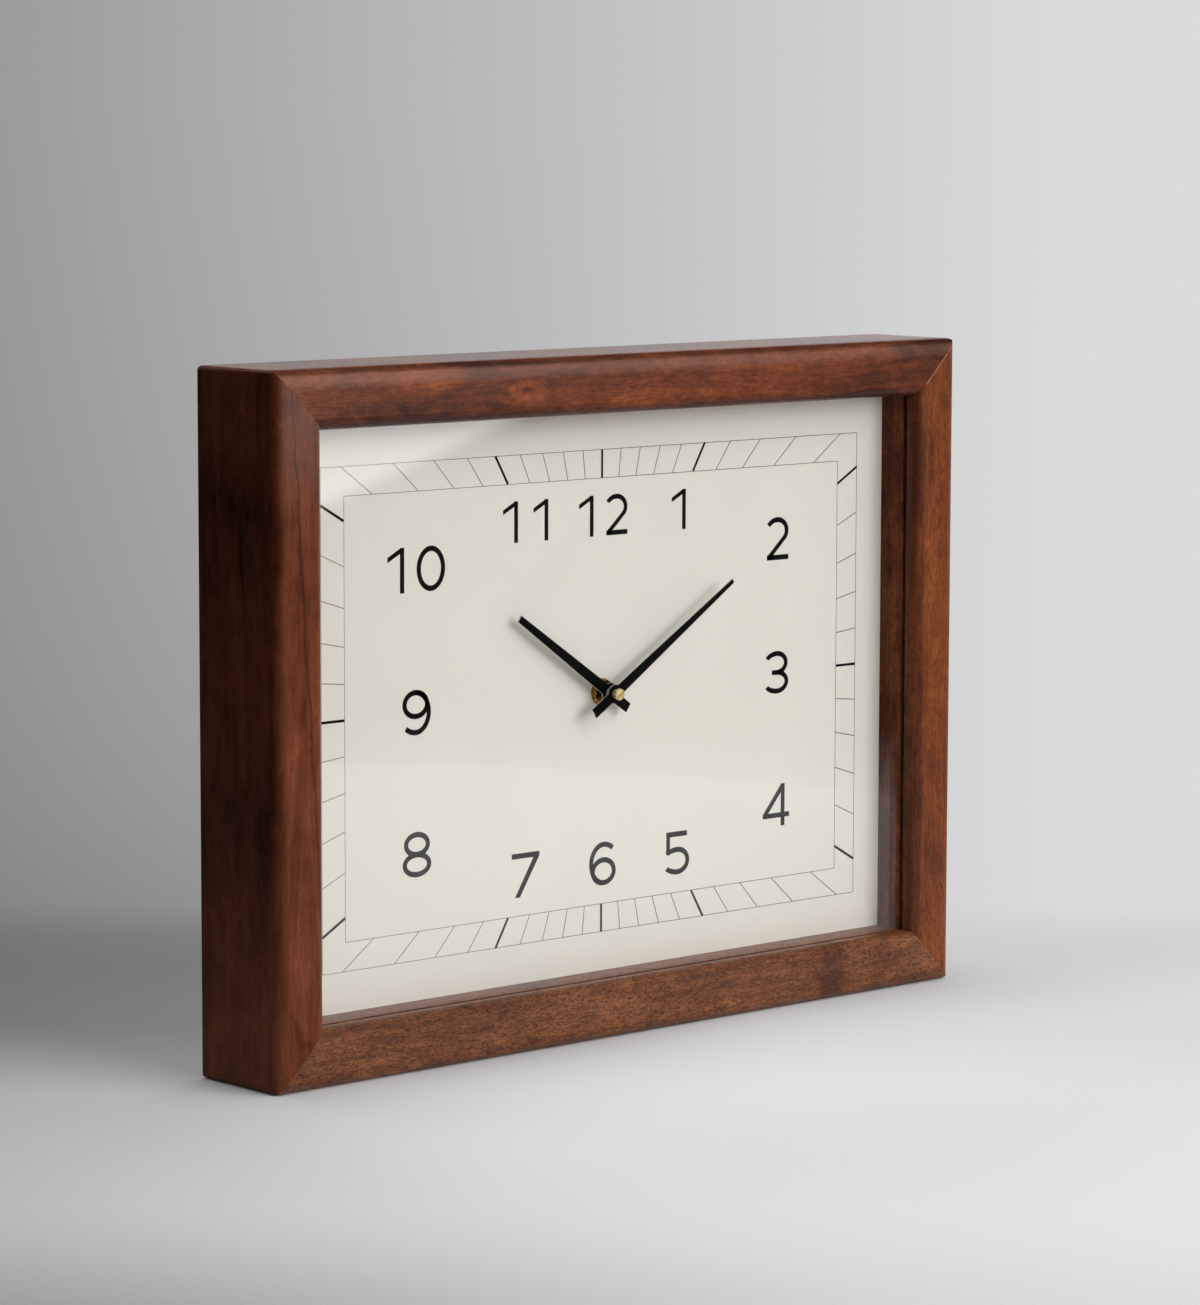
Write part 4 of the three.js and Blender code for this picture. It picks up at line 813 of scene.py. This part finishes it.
fastening = {
    "bushRadius": 3.9, "play": 0.15, "washerRadius": 6.2, "washerThickness": 0.5, "washerArris": 0.1,
    "nutFlats": 11.0, "nutThickness": 2.0, "chamferCuts": 24, "chamferSlope": 1.6, "chamferStart": 0.05,
    "neckRadius": 2.0, "neckLength": 2.2, "headRadius": 2.65, "headHeight": 1.2, "headRound": 0.45,
    "slotWidth": 0.7, "slotDepth": 0.7, "slotAngle": 62.0,
}
washerFront = dialY - fastening["washerThickness"]


def makeWasher():
    bm = bmesh.new()
    bore, radius = fastening["bushRadius"] + fastening["play"], fastening["washerRadius"]
    arris = fastening["washerArris"]
    turn(bm, [(radius, dialY), (radius, washerFront + arris), (radius - arris, washerFront),
              (bore, washerFront), (bore, dialY), (radius, dialY)], 64, (0, middleZ))
    finishPiece(bm, "brassWasher", finishes["brass"], "case", ["brass_washer"])


def flatCircle(bm, y, segments, radius, filled=False):
    made = bmesh.ops.create_circle(bm, cap_ends=filled, segments=segments, radius=radius)["verts"]
    bmesh.ops.rotate(bm, verts=made, cent=(0, 0, 0), matrix=Matrix.Rotation(math.pi / 2, 3, "X"))
    bmesh.ops.translate(bm, verts=made, vec=(0, y, 0))
    return made


def makeNut():
    nut = bmesh.new()
    half = fastening["nutFlats"] / 2
    flatCircle(nut, washerFront, 6, 2 * half / math.sqrt(3), filled=True)
    extrudeFaces(nut, nut.faces[:], (0, -fastening["nutThickness"], 0))
    nutFront = washerFront - fastening["nutThickness"]
    for index in range(fastening["chamferCuts"]):  # the turned chamfer that takes off the front corners
        angle = index / fastening["chamferCuts"] * math.tau
        outward = Vector((math.cos(angle), 0, math.sin(angle)))
        slope = (outward - Vector((0, fastening["chamferSlope"], 0))).normalized()
        cutAway(nut, Vector((0, nutFront, 0)) + outward * (half + fastening["chamferStart"]), slope)
    nut.normal_update()
    caps = [face for face in nut.faces if abs(face.normal.y) > 0.99]
    for cap in caps:
        rim = flatCircle(nut, cap.calc_center_median().y, 32, fastening["bushRadius"] + fastening["play"])
        edges = list({edge for vert in rim for edge in vert.link_edges})
        bmesh.ops.bridge_loops(nut, edges=[*cap.edges, *edges])
        bmesh.ops.delete(nut, geom=[cap], context="FACES_ONLY")
    bmesh.ops.bridge_loops(nut, edges=[edge for edge in nut.edges if edge.is_boundary])
    bmesh.ops.translate(nut, verts=nut.verts, vec=(0, 0, middleZ))
    finishPiece(nut, "mountingNut", finishes["brass"], "case", ["mounting_nut"], 25)


def cutAcross(bm, point, normal):
    whole = bm.verts[:] + bm.edges[:] + bm.faces[:]
    bmesh.ops.bisect_plane(bm, geom=whole, plane_co=point, plane_no=normal)


def makeHandNut():  # a round head with a slot, on a neck that holds the minute hand
    head = bmesh.new()
    bladeFront = dialY - hands["minute"]["lift"] - hands["thickness"]
    headBack = bladeFront - fastening["neckLength"]
    headFront = headBack - fastening["headHeight"]
    neck, reach, bend = fastening["neckRadius"], fastening["headRadius"], fastening["headRound"]
    corner = []
    for step in range(5):
        angle = step / 4 * math.pi / 2
        corner.append((reach - bend + bend * math.sin(angle), headFront + bend - bend * math.cos(angle)))
    turn(head, [(0, headFront), *corner, (reach, headBack), (neck, headBack), (neck, bladeFront),
                (0, bladeFront)], 64)
    front = [face for face in head.faces if face.calc_center_median().y < headFront + 0.02]
    bmesh.ops.dissolve_faces(head, faces=front)
    half, floorOfSlot = fastening["slotWidth"] / 2, headFront + fastening["slotDepth"]
    for side in (-1, 1):
        cutAcross(head, (side * half, 0, 0), (1, 0, 0))
    cutAcross(head, (0, floorOfSlot, 0), (0, 1, 0))
    middles = [(face, face.calc_center_median()) for face in head.faces]
    inside = [face for face, middle in middles if abs(middle.x) < half and middle.y < floorOfSlot]
    bmesh.ops.delete(head, geom=inside, context="FACES")
    rims = [edge for edge in head.edges if edge.is_boundary]
    sides = [edge for edge in rims if min(vert.co.y for vert in edge.verts) < floorOfSlot - 1e-4]
    walls = []
    for side in (-1, 1):
        edges = [edge for edge in sides if all(vert.co.x * side > 0 for vert in edge.verts)]
        ends = [vert for edge in edges for vert in edge.verts if abs(vert.co.y - floorOfSlot) < 1e-4]
        low = head.edges.new(sorted(ends, key=lambda vert: vert.co.z))
        bmesh.ops.contextual_create(head, geom=[*edges, low])
        walls.append(low)
    ends = [edge for edge in head.edges if edge.is_boundary and edge not in walls]
    bmesh.ops.contextual_create(head, geom=[*walls, *ends])
    setPlace(head, math.radians(fastening["slotAngle"]), (0, 0, middleZ))
    finishPiece(head, "handNut", finishes["paleBrass"], "minute_set", ["hand_nut"])


makeWasher()
makeNut()
makeHandNut()
print("hands ready")

# Behind the dial: screws with a cross recess, the cell and the marks on the movement
boardScrew = {
    "head": (2.2, 1.4), "shank": 1.2, "length": 12.0, "seat": 0.4,
    "places": [(-110, 282.3), (110, 282.3), (180.7, 152.4), (110, 22.5), (-110, 22.5), (-180.7, 152.4)],
}
hangerScrew = {
    "head": (1.9, 1.0), "shank": 1.0, "length": 9.0, "seat": 25.0, "places": [(-19, 294.95), (19, 294.95)],
}
recess = {"flat": 0.72, "reach": 0.84, "width": 0.25, "depth": 0.7, "taper": 0.6}  # shares of the head


def makeScrew(name, node, screw, x, z, turned):
    bm = bmesh.new()
    (radius, height), shank, seat = screw["head"], screw["shank"], screw["seat"]
    top, start, flat = seat + height, seat - screw["length"], radius * recess["flat"]
    turn(bm, [(0, start), (shank, start + 2 * shank), (shank, seat), (radius, seat),
              (radius, seat + height * 0.3), (radius * 0.9, seat + height * 0.8), (flat, top), (0, top)], 32)
    bmesh.ops.dissolve_faces(bm, faces=facesAt(bm, top))
    reach, wide = flat * recess["reach"], flat * recess["width"]
    for axis in (0, 2):
        scoreFaces(bm, top, axis, (-reach, -wide, wide, reach))

    def within(x, z):
        return min(abs(x), abs(z)) < wide and max(abs(x), abs(z)) < reach

    foot = pushIn(bm, top, within, height * recess["depth"])
    bmesh.ops.scale(bm, verts=foot, vec=(recess["taper"], 1, recess["taper"]))
    setPlace(bm, turned, (x, 0, z))
    finishPiece(bm, name, finishes["zinc"], nodes=[node])


for name, node, screw, step in (("boardScrew", "board_screw", boardScrew, 0.7),
                                ("hangerScrew", "hanger_screw", hangerScrew, 0.9)):
    for number, (x, z) in enumerate(screw["places"], 1):
        makeScrew(f"{name}{number}", f"{node}_{number}", screw, x, z, number * step)

cell = {
    "radius": 7.25, "left": -24.45, "right": 25.05, "nub": (2.75, 1.0), "y": 9.5, "z": 132.9, "band": 13.0,
}


def cellPiece(name, profile, material, nodes=()):
    bm = bmesh.new()
    turn(bm, profile, 64)
    setPlace(bm, -math.pi / 2, (0, cell["y"], cell["z"]), "Z")
    finishPiece(bm, name, material, nodes=nodes)


start, end, radius = cell["left"], cell["right"], cell["radius"]
nubRadius, nubLength = cell["nub"]
cellPiece("cellJacket", [
    (0, start + 0.3), (radius - 2.0, start + 0.3), (radius - 1.9, start), (radius - 0.6, start),
    (radius - 0.15, start + 0.2), (radius, start + 0.7), (radius, end - 0.7), (radius - 0.15, end - 0.2),
    (radius - 0.6, end), (radius - 1.9, end), (radius - 2.0, end - 0.4), (0, end - 0.4),
], finishes["jacket"], ["battery"])
cellPiece("cellBand", [
    (radius - 0.1, end - cell["band"]), (radius + 0.02, end - cell["band"]), (radius + 0.02, end - 1.2),
    (radius - 0.1, end - 1.2), (radius - 0.1, end - cell["band"]),
], finishes["zinc"])
cellPiece("cellPositive", [
    (0, end + nubLength), (nubRadius - 0.25, end + nubLength), (nubRadius, end + nubLength - 0.25),
    (nubRadius, end - 0.15), (radius - 2.2, end - 0.2), (radius - 2.2, end - 1.0), (0, end - 1.0),
], finishes["zinc"])
cellPiece("cellNegative", [
    (0, start + 0.05), (radius - 2.6, start + 0.05), (radius - 2.2, start + 0.35),
    (radius - 2.2, start + 1.0), (0, start + 1.0),
], finishes["zinc"])

marks = {
    "face": 16.9, "sunk": 0.1, "height": 0.4, "knob": (15.55, 165.45), "ring": (6.6, 7.3),
    "line": 0.9, "size": 3.6, "signX": 21.0, "signZ": 144.6, "snapX": 16, "snapHalf": 3,
    "snap": ((12.4, 15.6), (180.0, 181.0)), "snapHook": ((15.0, 17.5), (179.2, 181.0)),
    "grip": (-25, 8), "gripHalf": 0.4, "gripZ": (149.6, 151.6, 153.6),
}


def block(bm, x, y, z):  # a box between pairs of coordinates
    made = bmesh.ops.create_cube(bm, size=1)["verts"]
    bmesh.ops.scale(bm, verts=made, vec=(x[1] - x[0], y[1] - y[0], z[1] - z[0]))
    bmesh.ops.translate(bm, verts=made, vec=((x[0] + x[1]) / 2, (y[0] + y[1]) / 2, (z[0] + z[1]) / 2))


def around(middle, half):
    return middle - half, middle + half


moulded = bmesh.new()
inner, outer = marks["ring"]
low, high = marks["face"] - marks["sunk"], marks["face"] + marks["height"]
turn(moulded, [(inner, low), (inner, high), (outer, high), (outer, low), (inner, low)], 64, marks["knob"])
long, line, z = marks["size"] / 2, marks["line"] / 2, marks["signZ"]
for side in (-1, 1):  # a minus and a plus beside the cell's ends, and snaps that hold the cover
    x = side * marks["signX"]
    block(moulded, around(x, long), (low, high), around(z, line))
    if side > 0:
        block(moulded, around(x, line), (low, high), around(z, long))
    for snap in (marks["snap"], marks["snapHook"]):
        block(moulded, around(side * marks["snapX"], marks["snapHalf"]), *snap)
for z in marks["gripZ"]:  # grip lines above the bay
    block(moulded, marks["grip"], (low, high), around(z, marks["gripHalf"]))
finishPiece(moulded, "movementMarks", finishes["blackPlastic"])
print("works dressed")

# What stays from the frame gets its finish
nodeFinish = {
    "glass": ["glass_pane"],
    "card": ["dial_print"],
    "hardboard": ["dial_board"],
    "brass": ["minute_arbor", "mounting_bush"],
    "zinc": ["hanger_plate", "quartz_crystal", "contact_positive", "contact_negative"],
    "iron": ["stator", "coil_core"],
    "ferrite": ["rotor_magnet"],
    "rubber": ["rubber_washer"],
    "blackPlastic": ["movement_case", "movement_cover", "control_chip"],
    "whitePlastic": ["train_bridge", "coil_bobbin", "hour_wheel", "motion_wheel", "setting_knob",
                     "seconds_wheel", "third_wheel", "centre_wheel", "intermediate_wheel", "rotor_pinion"],
    "copper": ["coil_winding"],
    "circuit": ["circuit_board"],
}
nodeWood = {
    "inside": ["spacer_top", "spacer_bottom", *(f"corner_spline_{number}" for number in range(1, 5))],
    "insideUpright": ["spacer_left", "spacer_right"],
}


def dress(node, material):
    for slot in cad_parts[node].material_slots:
        slot.material = material


for key, names in nodeFinish.items():
    for node in names:
        dress(node, finishes[key])
for key, names in nodeWood.items():
    for node in names:
        dress(node, woods[key])
print("frame dressed")

# Studio
studio = {
    "cameraPlace": (-1.4159, -1.5657, 0.4209), "yaw": 0.73581, "pitch": -0.11835, "roll": 0.0024,
    "focal": 4748.2, "frameHeight": 1305, "sensor": 36.0, "floorRadius": 60.0, "farthest": 200.0,
    "aim": (0, 0, 0.15), "room": (0.18, 0.18, 0.18, 1.0), "backWall": (0.5, 0.5, 0.5, 1.0),
    "lamps": [  # name, place, size, power
        ("keyLight", (0.38, -1.5, 1.20), 1.5, 16.0),
        ("frontLight", (0.35, -2.2, 0.60), 1.6, 29.0),
        ("topLight", (0.10, 0.10, 1.7), 1.0, 8.0),
        ("sideLight", (1.45, -0.95, 1.60), 1.9, 5.0),
        ("backLight", (-0.5, 1.8, 2.0), 1.2, 6.0),
    ],
    "dullLamps": ("keyLight", "frontLight"),  # from behind they would show white in the top face
    # painted light: the wall and far floor tones fall from right to left, as the light does
    "wallLeft": (150, 150, 150), "wallMiddle": (192, 192, 192), "wallRight": (219, 219, 219),
    "floorLeft": (186, 187, 189), "floorMiddle": (214, 214, 215), "floorRight": (225, 225, 226),
    "spread": 3.6, "eyeDistance": 2.1, "horizon": (0.0, 0.25),
    # the lit floor, its colour painted darker to the left as painted shade
    "matt": {"between": (-0.55, 0.10), "left": (156, 156, 158), "right": (217, 217, 219),
             "distance": (0.55, 1.10), "depth": (0.20, 0.34)},
    # shade, near and close set the painted shade and light on the floor
    "shade": {"start": (-0.16, 0.02), "fade": (0.3, 1.5), "lean": (-0.07, 0.04), "glow": (0.30, 0.0),
              "matt": (0.44, 0.10)},
    "near": {"start": (-0.60, -0.34), "end": (-2.4, -0.9), "across": (-0.2, 0.2), "level": (0.52, 0.86)},
    "close": {"front": (-0.30, -0.08), "depth": (0.0, 0.17), "side": (-0.30, -0.15), "lift": 0.13},
    "dark": (26, 26, 27),
    "unlit": {"near": (-0.1, 0.6), "nearDeep": (0.0, 0.5), "left": (-0.75, -0.30), "high": (0.20, 0.45)},
    "sheet": {"middle": (0.071, -0.375, 0), "radius": 0.537, "edge": 0.007, "back": (0.15, 0.45),
              "left": (-0.70, -0.38)},
    # a painted reflection: a bright patch on the far floor that only mirrored rays see
    "paintedReflection": {"facing": (-0.643, -0.765, 0), "edge": (0.64, 0.70), "side": (2.2, 2.7),
               "light": (2.4, 2.4, 2.4, 1.0)},
}


def cameraAxes():
    yaw, pitch, roll = studio["yaw"], studio["pitch"], studio["roll"]
    ahead = Vector((math.sin(yaw) * math.cos(pitch), math.cos(yaw) * math.cos(pitch), math.sin(pitch)))
    level = Vector((math.cos(yaw), -math.sin(yaw), 0))
    upright = level.cross(ahead)
    right = math.cos(roll) * level + math.sin(roll) * upright
    up = -math.sin(roll) * level + math.cos(roll) * upright
    return right, up, ahead


right, up, ahead = cameraAxes()
lens = bpy.data.cameras.new("camera")
lens.sensor_width = studio["sensor"]
lens.lens = studio["focal"] / studio["frameHeight"] * studio["sensor"]
lens.clip_end = studio["farthest"]
camera = bpy.data.objects.new("camera", lens)
turned = Matrix((right, up, -ahead)).transposed().to_4x4()
camera.matrix_world = Matrix.Translation(studio["cameraPlace"]) @ turned
scene.collection.objects.link(camera)
scene.camera = camera

for name, place, size, power in studio["lamps"]:
    lamp = bpy.data.lights.new(name, "AREA")
    lamp.shape = "SQUARE"
    lamp.size = size
    lamp.energy = power
    holder = bpy.data.objects.new(name, lamp)
    holder.location = place
    holder.visible_glossy = name not in studio["dullLamps"]
    holder.rotation_euler = (Vector(studio["aim"]) - Vector(place)).to_track_quat("-Z", "Y").to_euler()
    scene.collection.objects.link(holder)

# The wall and floor are drawn in the photo's directions: across its width, and onward from the viewer
sideways = Vector((math.cos(studio["yaw"]), -math.sin(studio["yaw"]), 0))
onward = Vector((math.sin(studio["yaw"]), math.cos(studio["yaw"]), 0))


def seenBy(shader):  # rays that show the background: the camera's own, mirrored and through glass
    kinds = ("Is Camera Ray", "Is Glossy Ray", "Is Transmission Ray")
    direct, mirrored, through = shader.node("ShaderNodeLightPath", None, None, kinds)
    return mirrored, shader.larger(shader.larger(direct, through), mirrored)


def along(shader, vector, direction):
    sockets = {0: vector, 1: tuple(direction)}
    return shader.node("ShaderNodeVectorMath", {"operation": "DOT_PRODUCT"}, sockets, "Value")


def fromPoint(shader, vector, point):
    sockets = {0: vector, 1: point}
    return shader.node("ShaderNodeVectorMath", {"operation": "DISTANCE"}, sockets, "Value")


# painted light: the shown wall and far floor grow darker to the left
def sideTint(shader, lean, which):
    return shader.ramp(lean * studio["spread"] + 0.5, [
        (0.0, plain(*studio[which + "Left"])), (0.5, plain(*studio[which + "Middle"])),
        (0.86, plain(*studio[which + "Right"])),
    ])


world = bpy.data.worlds.new("studio")
scene.world = world
world.use_nodes = True
sky = Shader(world.node_tree)
direction = sky.node("ShaderNodeTexCoord", None, None, "Generated")
lean, deep, height = (along(sky, direction, axis) for axis in (sideways, onward, (0, 0, 1)))
mirrored, shown = seenBy(sky)
unlit = studio["unlit"]  # the parts of the room that the glass and lacquer mirror as dark
nearSide = sky.rise(lean, *unlit["near"], (1.0, 0.0)) * sky.rise(deep, *unlit["nearDeep"], (1.0, 0.0))
leftSide = sky.rise(lean, *unlit["left"], (1.0, 0.0))
dark = sky.larger(sky.larger(nearSide, leftSide), sky.rise(height, *unlit["high"])) * mirrored
wall = sky.mix(dark, sideTint(sky, lean, "wall"), plain(*studio["dark"]))
ambient = sky.mix(sky.rise(deep, -0.3, 0.5), studio["room"], studio["backWall"])
background = sky.node("ShaderNodeBackground", None, {"Color": sky.mix(shown, ambient, wall), "Strength": 1.0})
sky.node("ShaderNodeOutputWorld", None, {"Surface": background}, ())

floorMesh = bpy.data.meshes.new("floor")
ring = bmesh.new()
bmesh.ops.create_circle(ring, cap_ends=True, segments=96, radius=studio["floorRadius"])
ring.to_mesh(floorMesh)
ring.free()
floor = bpy.data.objects.new("floor", floorMesh)
scene.collection.objects.link(floor)
floorMaterial, ground = newShader("paleFloor")
spot = ground.place(1.0)
across, depth = along(ground, spot, sideways), along(ground, spot, onward)
side, front = ground.parts(spot)[:2]
distance = fromPoint(ground, spot, (0, 0, 0))
mirrored, shown = seenBy(ground)
lean = across / (distance + studio["eyeDistance"])
floorTint, wallTint = sideTint(ground, lean, "floor"), sideTint(ground, lean, "wall")
tint = ground.mix(ground.rise(depth, *studio["horizon"]), floorTint, wallTint)
# painted light and shade: the floor is darkened left behind the clock and towards the viewer, and lightened
# close to its front
shade, near, close = studio["shade"], studio["near"], studio["close"]
fadeFrom, fadeBy = shade["fade"]
behind = ground.rise(depth, *shade["start"]) / (ground.larger(depth - fadeFrom, 0.0) * fadeBy + 1.0)
dim = ground.rise(depth, *near["start"], (ground.rise(across, *near["across"], near["level"]), 1.0))
dim = ground.larger(dim, ground.rise(depth, *near["end"], (1.0, 0.0)))
lift = ground.rise(front, *close["front"]) * ground.rise(depth, *close["depth"], (1.0, 0.0))
dim = dim * (lift * ground.rise(side, *close["side"]) * close["lift"] + 1.0)


def fallOff(levels):
    return (1.0 - behind * ground.rise(lean, *shade["lean"], levels)) * dim


sheet = studio["sheet"]  # the pale sheet ends in a curve in front of the clock, which the glass mirrors
toSheet = fromPoint(ground, spot, sheet["middle"])
pastSheet = ground.rise(toSheet, sheet["radius"] - sheet["edge"], sheet["radius"] + sheet["edge"])
inFront = pastSheet * ground.rise(depth, *sheet["back"], (1.0, 0.0))
# to the left the floor is dark in mirrored rays only, a painted reflection of the shade there
darkness = ground.larger(inFront, ground.rise(across, *sheet["left"], (1.0, 0.0))) * mirrored
tint = ground.mix(darkness, tint, plain(*studio["dark"]))
paintedReflection = studio["paintedReflection"]  # painted reflection: a bright patch far in front on the floor, for mirrored rays only, shown by the glass in its top left corner
beyond = ground.rise(along(ground, spot, paintedReflection["facing"]), *paintedReflection["edge"])
beyond = beyond * ground.rise(across, *paintedReflection["side"])
tint = ground.mix(beyond * mirrored, tint, paintedReflection["light"])
direct = ground.mix(mirrored, shown, (0, 0, 0, 1))
# the far floor shown to the camera takes the painted shade too
tint = ground.mix(direct, tint, ground.times(tint, fallOff(shade["glow"])))
visible = ground.mix(shown, (0, 0, 0, 1), tint)
glow = ground.node("ShaderNodeEmission", None, {"Color": visible, "Strength": 1.0})
matt = studio["matt"]
# painted shade: the lit floor is darker to the left
pale = ground.mix(ground.rise(across, *matt["between"]), plain(*matt["left"]), plain(*matt["right"]))
pale = ground.times(pale, fallOff(shade["matt"]))
lit = ground.node("ShaderNodeBsdfDiffuse", None, {"Color": pale})
away = ground.larger(ground.rise(distance, *matt["distance"]), ground.rise(depth, *matt["depth"]))
mixed = ground.node("ShaderNodeMixShader", None, {0: away, 1: lit, 2: glow})
ground.node("ShaderNodeOutputMaterial", None, {"Surface": mixed}, ())
floorMesh.materials.append(floorMaterial)

scene.view_settings.view_transform = "Standard"
bpy.context.view_layer.update()
print("studio ready")
